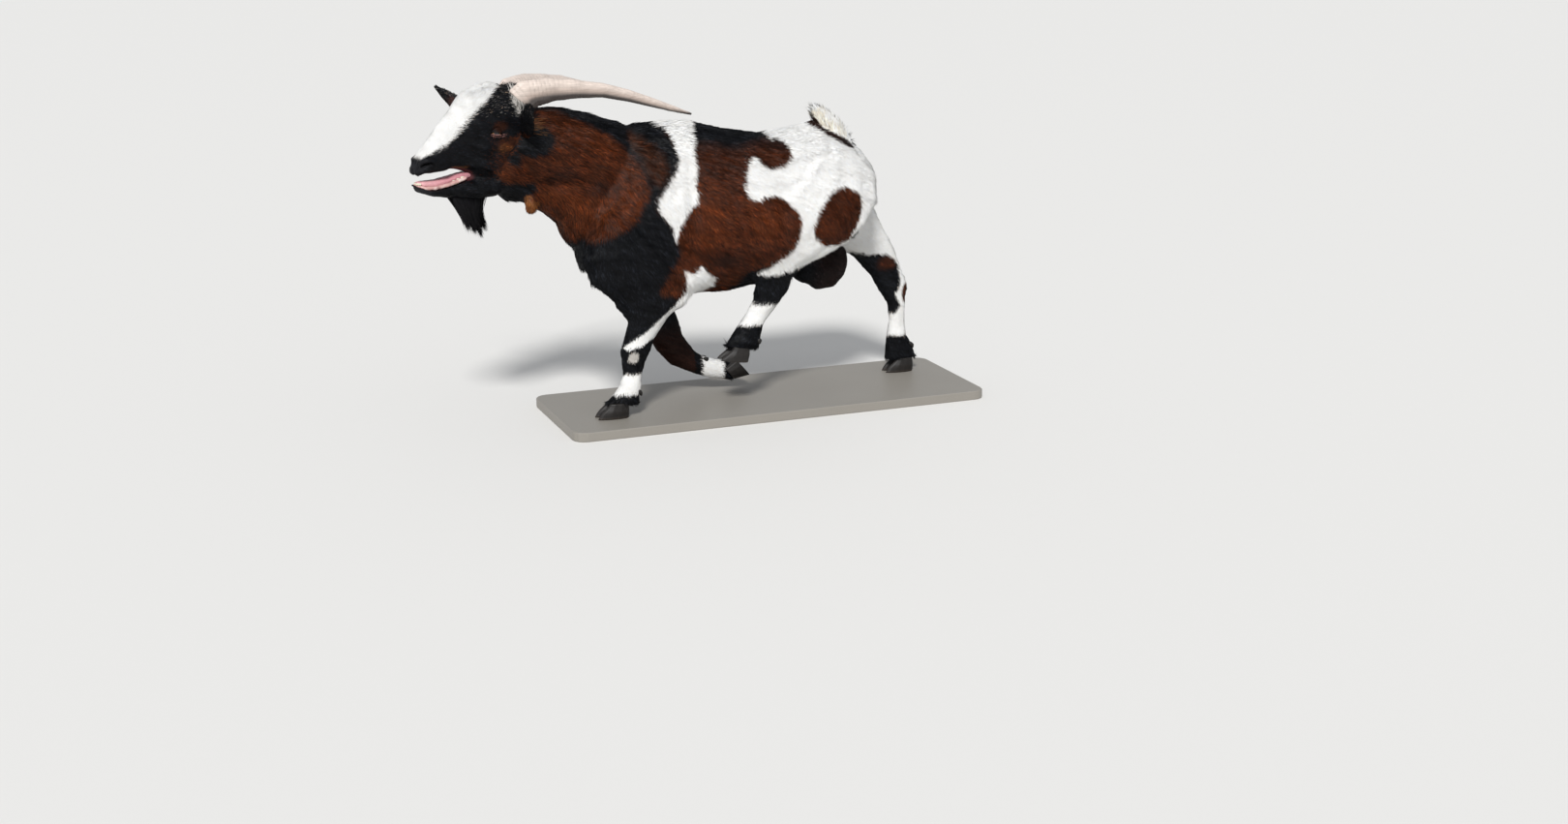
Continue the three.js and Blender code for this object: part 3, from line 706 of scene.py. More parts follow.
def openEye(skin, side):
    # the opening between the lids: faces taken out, the rim drawn onto the lids' edges and turned in
    points = getPoints(skin)
    local = inEye(points, side)
    centres = np.array([np.mean(local[list(face.vertices)], 0) for face in skin.data.polygons])
    a, b, out = centres.T
    inside = (out > 0) & (np.abs(a) < eyeLook["halfWidth"]) & (b < lidEdge(a, True)) & (b > lidEdge(a, False))
    skin.data.polygons.foreach_set("select", inside)
    others = ("extend", "use_wire", "use_multi_face", "use_non_contiguous", "use_verts")
    editMesh(skin, (bpy.ops.mesh.select_mode, {"type": "FACE"}), (bpy.ops.mesh.delete, {"type": "FACE"}),
             (bpy.ops.mesh.select_mode, {"type": "EDGE"}), (bpy.ops.mesh.select_all, {"action": "DESELECT"}),
             (bpy.ops.mesh.select_non_manifold, dict.fromkeys(others, False)))
    chosen = np.zeros(len(skin.data.vertices), bool)
    skin.data.vertices.foreach_get("select", chosen)
    points = getPoints(skin)
    local = inEye(points, side)
    rim = chosen & (local[:, 2] > 0) & (np.hypot(local[:, 0], local[:, 1]) < 20)
    a = np.clip(local[rim, 0], -eyeLook["halfWidth"], eyeLook["halfWidth"])
    b = np.where(local[rim, 1] > 0, lidEdge(a, True), lidEdge(a, False))
    ball = eyeLook["radius"] + eyeLook["lid"] * 0.75
    height = np.sqrt(np.clip(ball ** 2 - a ** 2 - b ** 2, 9, None))
    points[rim] = outOfEye(columns(a, b, height), side)
    setPoints(skin, points)
    edgeRim = rim[getEdges(skin)].all(1) & np.array([edge.select for edge in skin.data.edges])
    skin.data.edges.foreach_set("select", edgeRim)
    skin.data.vertices.foreach_set("select", rim)
    skin.data.polygons.foreach_set("select", np.zeros(len(skin.data.polygons), bool))
    before = len(skin.data.vertices)
    editMesh(skin, (bpy.ops.mesh.extrude_edges_move, {}))
    points = getPoints(skin)
    inner = np.arange(len(points)) >= before
    local = inEye(points[inner], side)
    points[inner] = outOfEye(unit(local) * (eyeLook["radius"] - 0.8), side)
    setPoints(skin, points)


def makeSkin():
    skin = copyOfNodes([name for name in regionNames if "ear_" not in name], skinLook["overlap"])
    applyModifier(skin, "REMESH", mode="VOXEL", voxel_size=skinLook["voxel"] * mm, adaptivity=0)
    region = nearestRegion(getPoints(skin))
    onTail = region == regionNames.index("tail")
    smoothSkin(skin, skinLook["smoothing"], np.where(onTail, skinLook["tailFirmness"], 1.0))
    smoothSkin(skin, skinLook["bagSmoothing"], region == regionNames.index("scrotum"))
    refine(skin, np.isin(nearestRegion(getPoints(skin)), headRegions))
    points = getPoints(skin)
    onHead = np.isin(nearestRegion(points), headRegions)
    smoothSkin(skin, skinLook["fineSmoothing"], onHead * 1.0)
    points, normals = getPoints(skin), getNormals(skin)
    goat, head = toGoat(points), toHead(points)
    points = swell(points, normals, goat, bodyForms, True)
    points = swell(points, normals, goat, legForms, False)
    points = np.where(onHead[:, None], swell(points, normals, head, headForms, True), points)
    setPoints(skin, points)
    smoothSkin(skin, skinLook["throatSmoothing"], blob(goat, (-318, 0, 350), (36, 60, 40)))
    points, normals = getPoints(skin), getNormals(skin)
    # loose skin at the base of the near side of the neck, and a faint rise over each rib
    fold = skinLook["foldHeight"] * blob(goat, (-238, -80, 398), (34, 40, 34))
    points = pushed(points, normals, fold * np.sin((goat[:, 0] * 0.75 + goat[:, 2] * 0.66) / 2.9))
    ribs = skinLook["ribHeight"] * blob(goat[:, [0, 2]], (-20, 350), (75, 62)) * (np.abs(goat[:, 1]) > 60)
    points = pushed(points, normals, ribs * np.sin((goat[:, 0] + 0.35 * goat[:, 2]) / 4.6))
    setPoints(skin, points)
    # the coat's depth is taken off, evened out between the parts
    depths = [next(v for k, v in skinLook["depth"].items() if k in name) for name in regionNames]
    depth = np.array(depths, float)[nearestRegion(points)][:, None]
    edges = getEdges(skin)
    for _ in range(skinLook["depthRounds"]):
        depth = neighbourMean(depth, edges)
    setPoints(skin, getPoints(skin) - getNormals(skin) * depth * mm)
    refine(skin, finePart(skin))
    smoothSkin(skin, skinLook["eyeSmoothing"], finePart(skin) * 1.0)
    shapeNostrils(skin)
    for side in (-1, 1):
        shapeLids(skin, side)
    for side in (-1, 1):
        openEye(skin, side)
    ears = remeshed(headNames[2:], "ears", skinLook["earVoxel"], skinLook["earSmoothing"], -0.2)
    joinPieces([skin, ears], "goatSkin")
    applyModifier(skin, "TRIANGULATE")
    applyModifier(skin, "DECIMATE", ratio=min(1.0, skinLook["triangles"] / len(skin.data.polygons)))
    return skin


def finePart(skin):
    # the points near the eyes and on the muzzle, where the mesh has to be finer
    head = toHead(getPoints(skin))
    away = [np.linalg.norm(head - mirrored(eyeLook["centre"], side), axis=1) for side in (-1, 1)]
    nearEyes = np.min(away, 0) < skinLook["eyeFine"]
    onMuzzle = (head[:, 0] < skinLook["muzzleFrom"]) & (np.abs(head[:, 2] + 40) < 70)
    return nearEyes | (onMuzzle & (np.abs(head[:, 1]) < 60))


def nostrils(head):
    # depth share of the two slits curled round the wings of the nose, and of the swelling over them
    pit = wing = 0
    for side in (-1, 1):
        along = (head[:, 0] + 207) * 0.94 + (head[:, 2] + 37) * 0.34
        across = (head[:, 2] + 37) * 0.94 - (head[:, 0] + 207) * 0.34 + 0.035 * along ** 2 - 2
        beside = np.exp(-(along / 9.5) ** 4) * ramp(head[:, 1] * side, 5, 10)
        pit = pit + beside * bell(across, 2.7)
        wing = wing + beside * bell(across - 6, 3)
    return pit, wing


def shapeNostrils(skin):
    points, normals, head = getPoints(skin), getNormals(skin), toHead(getPoints(skin))
    pit, wing = nostrils(head)
    cleft = bell(head[:, 1], 1.6) * ramp(-head[:, 0], 208, 216)
    setPoints(skin, pushed(points, normals, 2.2 * wing - 6.5 * pit - 1.6 * cleft))


skin = makeSkin()
print("skin", len(skin.data.polygons), "faces")

# the same unwrap serves the skin and every tuft that grows on it
skin.data.uv_layers.new(name="OFBake")
editAll(skin, bpy.ops.uv.smart_project, angle_limit=math.radians(66), island_margin=0.001)
print("skin unwrapped")

coatLook = {
    "lieRounds": 60, "lengthRounds": 40,  # evening out of the lie and the length between the parts
    "lift": 0.28, "hornLift": 0.25, "hornLength": 5,  # rise of a lock for its length, more by the horns
    "sink": 0.7,  # depth of the roots in millimetres
    # the roots painted darker than the tips as shade among the locks; the roundness of a lock
    "rootPaintedShade": 0.92, "tipShade": 1.02, "roundness": 0.35,
    "uvPatch": 0.003,  # a lock's patch of the unwrap
}
# which way the hair lies, by part: in the goat's frame, and in the head's frame for the head
lieWays = {
    "trunk": (1, 0, -0.3), "neck": (0.8, 0, -0.55), "tail": (-0.4, 0, 0.9), "scrotum": (0.3, 0, -1),
    "wattle": (0, 0, -1), "shoulder": (0.5, 0, -0.85), "thigh": (0.55, 0, -0.8), "front_left": (0.05, 0, -1),
    "front_right_forearm": (0.75, 0, -0.65), "front_right_cannon": (1, 0, -0.4),
    "hind_left_gaskin": (0.5, 0, -0.85), "hind_left_cannon": (-0.55, 0, -0.83),
    "hind_right_gaskin": (0.75, 0, -0.65), "hind_right_cannon": (0, 0, -1),
    "head": (1, 0, -0.25), "lower_jaw": (1, 0, -0.2), "ear_left": (-34, -80, 60), "ear_right": (-74, 67, 86),
}
# hair length in millimetres by part, then the places where it is longer: middle, reach, extra
hairLengths = {
    "head": 8, "lower_jaw": 8, "ear": 6, "neck": 18, "trunk": 15, "tail": 22, "scrotum": 7, "wattle": 4,
    "shoulder": 15, "thigh": 14, "forearm": 11, "gaskin": 11, "cannon": 8,
}
longerOnBody = [
    ((-330, 0, 592), (110, 30, 26), 14),  # crest
    ((-150, 0, 556), (70, 40, 22), 10),  # withers
    ((60, 0, 538), (170, 22, 18), 5),  # back
    ((-300, 0, 335), (70, 80, 80), 6),  # breast
    ((-60, 0, 220), (170, 60, 24), 6),  # belly
    ((292, 0, 400), (30, 90, 80), 8),  # breech
    ((-410, 0, 432), (50, 60, 24), 6),  # throat
    ((-108, -104, 240), (34, 40, 40), 8),  # elbow
    ((-250, -62, 31), (44, 30, 12), 11), ((22, 60, 44), (13, 30, 30), 8),  # above the hoofs
    ((-14, -72, 117), (44, 30, 12), 11), ((393, 62, 34), (44, 30, 12), 11),
]
longerOnHead = [
    ((-84, 0, 92), (30, 36, 16), 12),  # forelock
    ((-6, 0, 84), (28, 60, 20), 12),  # poll
    ((-20, 48, -62), (34, 20, 24), 6), ((-20, -48, -62), (34, 20, 24), 6),  # back of the cheek
    ((-110, 0, -106), (60, 30, 12), 6),  # under the jaw
    ((-10, 48, 30), (18, 22, 30), 7), ((-10, -48, 30), (18, 22, 30), 7),  # before the ears
]


def byPart(table, region):
    values = [next(value for key, value in table.items() if key in name) for name in regionNames]
    return np.array(values, float)[region]


def hairSkin():
    # all that the hair needs to know about the skin, point by point and face by face
    points, normals, edges = getPoints(skin), getNormals(skin), getEdges(skin)
    region = nearestRegion(points)
    goat, head = toGoat(points), toHead(points)
    names = np.array(regionNames)[region]
    onHead = np.isin(region, headRegions)
    way = unit(byPart(lieWays, region))
    brow = onHead * ramp(head[:, 2], 20, 60) * ramp(-head[:, 0], 40, 70)
    way[:, 2] += 0.5 * brow
    low = (names == "trunk") * ramp(-goat[:, 2], -420, -280)
    way[:, 2] -= 0.25 * low
    breast = ramp(-goat[:, 0], 240, 300) * ~onHead * (goat[:, 2] < 420)
    way = np.where(breast[:, None] > 0, way + breast[:, None] * ((0.0, 0, -1.1) - way), way)
    way[onHead] = way[onHead] @ headAxes
    for _ in range(coatLook["lieRounds"]):
        way = unit(neighbourMean(way, edges) + 1e-9)
        way = way - normals * (way * normals).sum(1, keepdims=True)
    length = byPart(hairLengths, region)
    for _ in range(coatLook["lengthRounds"]):
        length = neighbourMean(length[:, None], edges)[:, 0]
    for local, spots in ((goat, longerOnBody), (head, longerOnHead)):
        for middle, reach, extra in spots:
            length += extra * blob(local, middle, reach)
    u, v, w = faceAxes(head)
    eyeDistance = np.linalg.norm(columns(-u, v, w) - eyeLook["centre"], axis=1)
    face = onHead * ~np.char.startswith(names, "ear")
    # the hair stands up on the forelock and round the roots of the horns
    lift = 0.45 * blob(head, (-80, 0, 92), (30, 34, 18))
    for side in (-1, 1):
        collar = face * within(np.hypot(head[:, 0] + 2, head[:, 1] - 22 * side), 22, 34) * (head[:, 2] > 30)
        toHorn = np.array((0.5, 0.1 * side, 0.85)) @ headAxes
        turned = toHorn - normals * (normals @ toHorn)[:, None]
        way = np.where(collar[:, None] > 0, way + 1.5 * collar[:, None] * (unit(turned) - way), way)
        length += coatLook["hornLength"] * collar
        lift = lift + coatLook["hornLift"] * collar
    length *= 1 - face * 0.5 * ramp(u, 120, 200)
    length *= 1 - face * 0.65 * ramp(-eyeDistance, -34, -14)
    lips = face * (mouthInside(head) > 0.2)
    nosePad = face * ramp(u, 212, 216) * within(v, 5, 8) * ramp(-w, 34, 38)
    lowerLip = face * ramp(u, 190, 194) * within(v, 18, 20) * ramp(-w, 62, 64) * ramp(w, -92, -88)
    bare = np.max([lips, nosePad, lowerLip, face * (nostrils(head)[0] > 0.35)], 0)
    for side in (-1, 1):
        across, up, out = inEye(points, side).T
        bare = np.maximum(bare, face * (np.hypot(across / 15, (up + 0.4) / 3.0) < 1) * (out > 0))
    faces = readMesh(skin.data.polygons, "vertices", 3, np.int32)
    uv = readMesh(skin.data.uv_layers["OFBake"].data, "uv", 2)
    a, b, c = points[faces].transpose(1, 0, 2)
    return {
        "points": points, "normals": normals, "region": region, "way": unit(way), "length": length,
        "cover": 1 - bare, "lift": lift - 0.1 * face, "faces": faces, "uv": uv.reshape(-1, 3, 2),
        "area": np.linalg.norm(np.cross(b - a, c - a), axis=1) / 2 / mm ** 2,
        "tree": BVHTree.FromPolygons(points.tolist(), faces.tolist()),
    }


def mouthInside(head):
    # 1 on the roof and the floor of the open mouth, in the head's frame
    u, v, w = faceAxes(head)
    roof = ramp(-u, -208, -200) * within(v, 12, 16) * ramp(-w, 44, 48) * ramp(w, -64, -60)
    floor = ramp(-u, -202, -196) * within(v, 13, 17) * ramp(w, -86, -80) * ramp(-w, 62, 64)
    return ramp(u, 98, 110) * np.maximum(roof, floor)


# hair: a tapered keratin thread with a soft gloss, drawn as fine lines along each lock
hairLook = {"grain": (3200, 260, 1), "detail": 2.0, "shades": (0.86, 1.12), "bump": (0.35, 0.4)}
coatMaterial, longHairMaterial = [
    grainMaterial(name, "coatColour", hairLook, "OFBake", in_Roughness=roughness, in_Specular_IOR_Level=0.12)
    for name, roughness in (("shortGoatHair", 0.5), ("longGoatHair", 0.42))]


def makeHair(name, start, middle, end, outward, width, colour, uv, rows, material):
    # locks on curves from start to end past a middle point, closed and ending in a tip; a row is
    # the share along the lock, the share of its width, and how many points it has
    count = len(start)
    strip, firsts, size = [], [], 0
    for t, wide, corners in rows:
        centre = start * (1 - t) ** 2 + middle * 2 * t * (1 - t) + end * t * t
        along = unit((middle - start) * (1 - t) + (end - middle) * t)
        side = unit(np.cross(outward, along))
        top = np.cross(along, side)
        half = (width * wide / 2)[:, None]
        ring = [centre - side * half, centre + side * half, centre + top * half * coatLook["roundness"] * 2]
        strip.append(np.stack(ring[:corners] if corners > 1 else [centre], 1))
        firsts.append((size, corners))
        size += corners
    points = np.concatenate(strip, 1)
    perTuft = points.shape[1]
    if perTuft == 4:
        triangles = [(0, 1, 2), (1, 3, 2), (0, 3, 1), (0, 2, 3)]
    else:
        triangles = [(0, 2, 1)]
        for (near, nearSize), (far, farSize) in zip(firsts, firsts[1:]):
            for k in range(3):
                m = (k + 1) % 3
                if farSize == 1:
                    triangles.append((near + k, near + m, far))
                else:
                    triangles += [(near + k, near + m, far + m), (near + k, far + m, far + k)]
    triangles = np.array(triangles)
    faces = (triangles[None] + np.arange(count)[:, None, None] * perTuft).reshape(-1)
    mesh = bpy.data.meshes.new(name)
    mesh.vertices.add(count * perTuft)
    mesh.vertices.foreach_set("co", points.astype(np.float32).ravel())
    mesh.loops.add(len(faces))
    mesh.loops.foreach_set("vertex_index", faces.astype(np.int32))
    mesh.polygons.add(len(faces) // 3)
    mesh.polygons.foreach_set("loop_start", np.arange(0, len(faces), 3, dtype=np.int32))
    mesh.update(calc_edges=True)
    piece = addPiece(name, mesh)
    # a patch of the unwrap for each lock, and a colour that lightens from root to tip, the darker roots a
    # painted shade among the locks
    share = np.concatenate([np.full(corners, t) for t, wide, corners in rows])
    across = np.concatenate([(-0.5, 0.5, 0.0)[:row[2]] if row[2] > 1 else (0.0,) for row in rows])
    patch = columns(across, share - 0.5) * coatLook["uvPatch"]
    corner = (uv[:, None] + patch[None]).reshape(-1, 2)[faces]
    mesh.uv_layers.new(name="OFBake").data.foreach_set("uv", corner.astype(np.float32).ravel())
    shade = coatLook["rootPaintedShade"] + (coatLook["tipShade"] - coatLook["rootPaintedShade"]) * share
    setColour(piece, "coatColour", (colour[:, None] * shade[None, :, None]).reshape(-1, 3))
    # shading follows the skin more than the single lock, as on a real smooth coat
    radial = unit(points - points.mean(1, keepdims=True))
    normals = unit(outward[:, None] + radial * coatLook["roundness"])
    mesh.shade_smooth()
    mesh.normals_split_custom_set_from_vertices(normals.reshape(-1, 3))
    mesh.materials.append(material)
    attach(piece, "root")
    return piece


shortRows = [(0, 0, 1), (0.4, 1, 2), (1, 0, 1)]
longRows = [(0, 0.6, 3), (0.22, 1, 3), (0.48, 0.95, 3), (0.74, 0.7, 3), (1, 0, 1)]


def streaks(points, size, phase=0.0):
    # unevenness drawn out along the lie of the coat
    goat = toGoat(points)
    lie = unit(np.array([1.0, 0, -0.5]))
    return wander(goat - 0.75 * (goat @ lie)[:, None] * lie, size, phase)


def hairColour(points, region):
    fleck = rng.random(len(points))
    colour = coatColour(points + 1.2 * mm * rng.standard_normal((len(points), 3)), region, fleck)
    bright = colour.max(1)
    levels = (0.01, 0.08, 0.6)  # black, brown and white hair
    # a random tone for each lock, and streaks along the lie that are painted sheen and shade of the clumps
    spread = np.interp(bright, levels, (0.34, 0.28, 0.05))
    sheenDrift = np.interp(bright, levels, (0.45, 0.5, 0.03))
    toneAndSheen = spread * rng.standard_normal(len(points)) + sheenDrift * (
        0.5 * streaks(points, 42, 0.5) + 0.7 * streaks(points, 13, 2.0))
    colour = colour * np.exp(toneAndSheen)[:, None]
    # some brown hairs are nearly black, and some are fox red, partly a painted sheen; some black ones are
    # lightened to blue-grey as a painted sheen
    brown = (bright > 0.03) & (bright < 0.3)
    draw = rng.random(len(points)) + 0.12 * streaks(points, 24, 4.0)
    dark = brown & (draw < 0.18)
    red = brown & (draw > 0.82)
    sheenedBlack = (bright < 0.01) & (draw > 0.9)
    colour[dark] = colour[dark] * 0.4
    colour[red] = colour[red] * (1.7, 1.35, 1.1)
    colour[sheenedBlack] = colour[sheenedBlack] * 3.0 + (0.004, 0.005, 0.007)
    return np.clip(colour, 0, 0.9)


def growCoat(name, faceChosen, width, cover):
    # scatters locks over the chosen faces of the skin, as many as the wanted cover needs
    faces = hair["faces"][faceChosen]
    uvs = hair["uv"][faceChosen]
    length = hair["length"][faces].mean(1)
    number = hair["area"][faceChosen] * cover * hair["cover"][faces].min(1) / (0.5 * width * length)
    number = np.floor(number + rng.random(len(number))).astype(int)
    pick = np.repeat(np.arange(len(faces)), number)
    share = rng.dirichlet((1, 1, 1), len(pick))

    def atRoot(what):
        # a value of the skin at the roots of the locks
        return (hair[what][faces[pick]].reshape(len(pick), 3, -1) * share[..., None]).sum(1)

    start, normal, way = atRoot("points"), unit(atRoot("normals")), atRoot("way")
    goat = toGoat(start)
    cross = np.cross(normal, way)
    swing = 0.16 * rng.standard_normal(len(pick)) + 0.2 * wander(goat, 85, 1.3) + 0.12 * wander(goat, 27, 0.4)
    way = unit(way - normal * (way * normal).sum(1, keepdims=True) + cross * swing[:, None])
    long = atRoot("length")[:, 0] * rng.uniform(0.75, 1.2, len(pick)) * mm
    rise = (coatLook["lift"] + atRoot("lift")[:, 0]) * rng.uniform(0.6, 1.35, len(pick))
    middle = start + way * (long * 0.5)[:, None] + normal * (long * rise * 0.5)[:, None]
    end = start + way * long[:, None] + normal * (long * rise * 0.36)[:, None]
    region = hair["region"][faces[pick, 0]]
    colour = hairColour(start, region)
    uv = (uvs[pick] * share[..., None]).sum(1)
    start = start - normal * coatLook["sink"] * mm
    thick = width * rng.uniform(0.75, 1.25, len(pick)) * mm
    sway = 0.42 * streaks(start, 12, 1.0) + 0.25 * streaks(start, 31, 3.0)
    facing = unit(normal + cross * (sway * np.interp(colour.max(1), (0.1, 0.6), (1, 0.3)))[:, None])
    piece = makeHair(name, start, middle, end, facing, thick, colour, uv, shortRows, coatMaterial)
    print(name, len(pick), "locks", len(piece.data.polygons), "triangles")
    return piece


hair = hairSkin()
# the skin: short fine hair drawn as fine grain, darker between the hairs
skinGrain = {"grain": (420, 1500, 900), "detail": 3.0, "shades": (0.7, 1.1), "bump": (0.5, 0.5)}
skinMaterial = grainMaterial("goatSkinShortHair", "coatColour", skinGrain, in_Roughness=0.6,
                             in_Specular_IOR_Level=0.12)
finish(skin, "coatColour", coatColour(hair["points"], hair["region"]), skinMaterial, *regionNames)

# the coat in pieces: parts of the body, side (0 for both), width of a lock in millimetres, cover
coatPieces = {
    "coatTrunkLeft": (("trunk",), -1, 1.15, 2.8), "coatTrunkRight": (("trunk",), 1, 1.55, 2.6),
    "coatNeckLeft": (("neck",), -1, 1.0, 3.0), "coatNeckRight": (("neck",), 1, 1.2, 2.8),
    "coatShoulderLeft": (("front_left_shoulder",), 0, 1.05, 2.8),
    "coatShoulderRight": (("front_right_shoulder",), 0, 1.3, 2.6),
    "coatThighLeft": (("hind_left_thigh",), 0, 1.05, 2.8),
    "coatThighRight": (("hind_right_thigh",), 0, 1.3, 2.6),
    "coatForelegs": (("front_left_forearm", "front_left_cannon", "front_right_forearm", "front_right_cannon"),
                     0, 1.15, 1.9),
    "coatHindlegs": (("gaskin", "hind_left_cannon", "hind_right_cannon"), 0, 1.1, 2.3),
    "coatHeadLeft": (("head",), -1, 0.7, 2.6), "coatHeadRight": (("head",), 1, 0.85, 2.4),
    "coatJaw": (("lower_jaw",), 0, 0.9, 2.4), "coatEars": (("ear_left", "ear_right"), 0, 0.8, 2.0),
    "coatTailAndBag": (("tail", "scrotum", "wattle"), 0, 1.2, 2.4),
}


def growAllCoat():
    first = hair["faces"][:, 0]
    region, points = hair["region"][first], hair["points"][first]
    faceSide = np.where(np.isin(region, headRegions), toHead(points)[:, 1], toGoat(points)[:, 1])
    for name, (parts, side, width, cover) in coatPieces.items():
        wanted = [i for i, r in enumerate(regionNames) if any(part in r for part in parts)]
        chosen = np.isin(region, wanted)
        if side:
            chosen &= faceSide * side > 0
        growCoat(name, chosen, width, cover)


growAllCoat()
print("coat grown")


def locks(name, look, path, colour):
    # long locks whose roots, bends and tips the path function gives for random shares in 0..1
    count = look["locks"]
    share = rng.random((count, 4))
    start, middle, end, outward = path(share)
    jitter = rng.standard_normal((count, 3)) * look["spread"] * mm
    nearest = [hair["tree"].find_nearest(Vector(point))[2] for point in start]
    shade = np.exp(0.2 * rng.standard_normal(count))[:, None]
    wide = look["width"] * rng.uniform(0.7, 1.3, count) * mm
    return makeHair(name, start, middle + jitter, end + jitter * 2.2, outward, wide,
                    np.clip(colour(share) * shade, 0, 0.9), hair["uv"][nearest].mean(1), longRows,
                    longHairMaterial)


def evenColour(look):
    return lambda share: plainColour(look["colour"], len(share))


# the beard hangs from the chin and ends in ragged points, in the head's frame
beardLook = {
    "locks": 1500, "width": 1.5, "spread": 0.9, "colour": "0c0b0e",
    "halfWidth": 15, "root": (-156, -68), "rootZ": -93,
    "heights": (-186, -174, -160, -141, -122, -99),
    "front": (-86, -112, -117, -123, -135, -155), "back": (-80, -71, -76, -83, -82, -68),
    "points": ((-112, -172), (-97, -179), (-83, -187), (-71, -175)),
}


def growBeard():
    def edgeX(z, along):
        front = np.interp(z, beardLook["heights"], beardLook["front"])
        back = np.interp(z, beardLook["heights"], beardLook["back"])
        return front + (back - front) * along

    def path(share):
        along = share[:, 0]
        rim = 2 * share[:, 1] - 1
        root = columns(
            np.interp(along, (0, 1), beardLook["root"]), beardLook["halfWidth"] * rim * (1 - 0.2 * along),
            beardLook["rootZ"] - 4 * np.sin(along * math.pi) + 3 * np.abs(rim))
        goal = np.array(beardLook["points"])[np.minimum((along * 4).astype(int), 3)]
        reach = 0.45 + 0.55 * share[:, 2] ** 0.7
        endZ = root[:, 2] + (goal[:, 1] - root[:, 2]) * reach
        gather = 0.75 * reach ** 2
        endX = edgeX(endZ, along) * (1 - gather) + goal[:, 0] * gather
        tip = columns(endX, 9 * rim * (1 - 0.7 * reach), endZ)
        bendZ = (root[:, 2] + endZ) / 2
        bendX = 2 * edgeX(bendZ, along) - (root[:, 0] + endX) / 2 + 3 * np.sin(along * 40 + 5 * share[:, 2])
        bend = columns(bendX, 10 * rim * (1 - 0.4 * reach), bendZ)
        outward = unit(columns((along - 0.5) * 0.8, rim + 0.01, 0)) @ headAxes
        return fromHead(root), fromHead(bend), fromHead(tip), outward

    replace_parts(locks("beardHair", beardLook, path, evenColour(beardLook)), "beard")


# the tail is carried up and forward over the rump, a brush of cream hair, in the goat's frame
tailLook = {
    "locks": 1400, "width": 1.6, "spread": 1.2, "cream": "e9e0cf", "dark": "33241e",
    # middle x and z, half depth, half width and length of hair
    "root": (230, 488, 19.84, 11.25, 30), "tip": (184, 552, 7.44, 6.75, 16),
}


def growTail():
    def path(share):
        up, angle = share[:, 0] ** 0.8, share[:, 1] * 2 * math.pi
        middleX, middleZ, depth, wide, long = [
            first + (last - first) * up for first, last in zip(tailLook["root"], tailLook["tip"])]
        out = columns(np.cos(angle) * 0.86, np.sin(angle), np.cos(angle) * 0.5)
        root = columns(middleX, 0, middleZ) + out * columns(depth, wide, depth)
        long = long * (0.7 + 0.5 * share[:, 2])
        away = unit(columns(-0.42 + 0.34 * np.cos(angle), 0.34 * np.sin(angle), 0.9))
        tip = root + away * long[:, None]
        bend = (root + tip) / 2 + out * 3.0
        return fromGoat(root), fromGoat(bend), fromGoat(tip), unit(out)

    def colour(share):
        under = (np.cos(share[:, 1] * 2 * math.pi) < -0.72)[:, None] * (share[:, 0:1] < 0.9)
        return np.where(under, linear(tailLook["dark"]), linear(tailLook["cream"]))

    locks("tailBrush", tailLook, path, colour)


# fair tufts behind the near ear, in the goat's frame
earTuftLook = {
    "locks": 44, "width": 0.6, "spread": 1.0, "root": (-408, -384), "rootZ": (548, 578), "colour": "604025",
}


def growEarTufts():
    def path(share):
        (x1, x2), (z1, z2) = earTuftLook["root"], earTuftLook["rootZ"]
        x, z = x1 + (x2 - x1) * share[:, 0], z1 + (z2 - z1) * share[:, 1]
        root = np.array([
            hair["tree"].ray_cast(Vector(one), Vector((0, 1, 0)))[0] or one
            for one in fromGoat(columns(x, -150, z))])
        way = unit(columns(0.95, -0.12, (share[:, 1] - 0.6) * 0.5))
        tip = root + way * ((10 + 12 * share[:, 2]) * mm)[:, None]
        bend = (root + tip) / 2 + np.array((0, -3, 2)) * mm
        return root, bend, tip, np.tile((0.0, -1.0, 0.1), (len(x), 1))

    locks("earTufts", earTuftLook, path, evenColour(earTuftLook))


growEarTufts()
growBeard()
growTail()
print("long hair grown")

# horn: keratin sheath grown in rings, dark at the tip, pale on top and dark beneath as painted light and
# shade
hornLook = {
    "voxel": 1.7, "smoothing": 16,
    "line": [  # middle of the horn in the head's frame, x, y and z
        (-4, 18, 36), (-5, 20, 60), (12, 27, 75), (52, 40, 81), (96, 54, 80), (148, 67, 75), (200, 77, 62),
        (250, 85, 45), (296, 90, 30), (338, 92, 18),
    ],
    "ringSpacing": 8.0, "ringHeight": 1.1, "ringsEnd": 210,
    "top": "d2c3b8", "side": "b3a297", "under": "57504d", "tip": "3f3936", "base": "8d8078",
}


def alongHorn(points, side):
    # distance from the root along the horn, and how far round it a point lies (1 on top, -1 beneath)
    head = toHead(points)
    line = mirrored(hornLook["line"], side)
    best = np.full(len(head), 1e9)
    run = np.zeros(len(head))
    around = np.zeros(len(head))
    passed = 0.0
    for a, b in zip(line, line[1:]):
        step = b - a
        size = np.linalg.norm(step)
        t = np.clip(((head - a) @ step) / size ** 2, 0, 1)
        offset = head - a - t[:, None] * step
        distance = np.linalg.norm(offset, axis=1)
        over = np.cross(np.cross(step, (0, 0, 1)), step)
        near = distance < best
        run = np.where(near, passed + t * size, run)
        around = np.where(near, (offset @ unit(over)) / np.maximum(distance, 1e-6), around)
        best = np.minimum(best, distance)
        passed += size
    return run, around, passed


hornGrain = {"grain": (14, 420, 420), "detail": 4.0, "shades": (0.82, 1.12), "bump": (0.4, 0.4)}
hornMaterial = grainMaterial("ringedHornKeratin", "hornColour", hornGrain, in_Roughness=0.42,
                             in_Specular_IOR_Level=0.4)


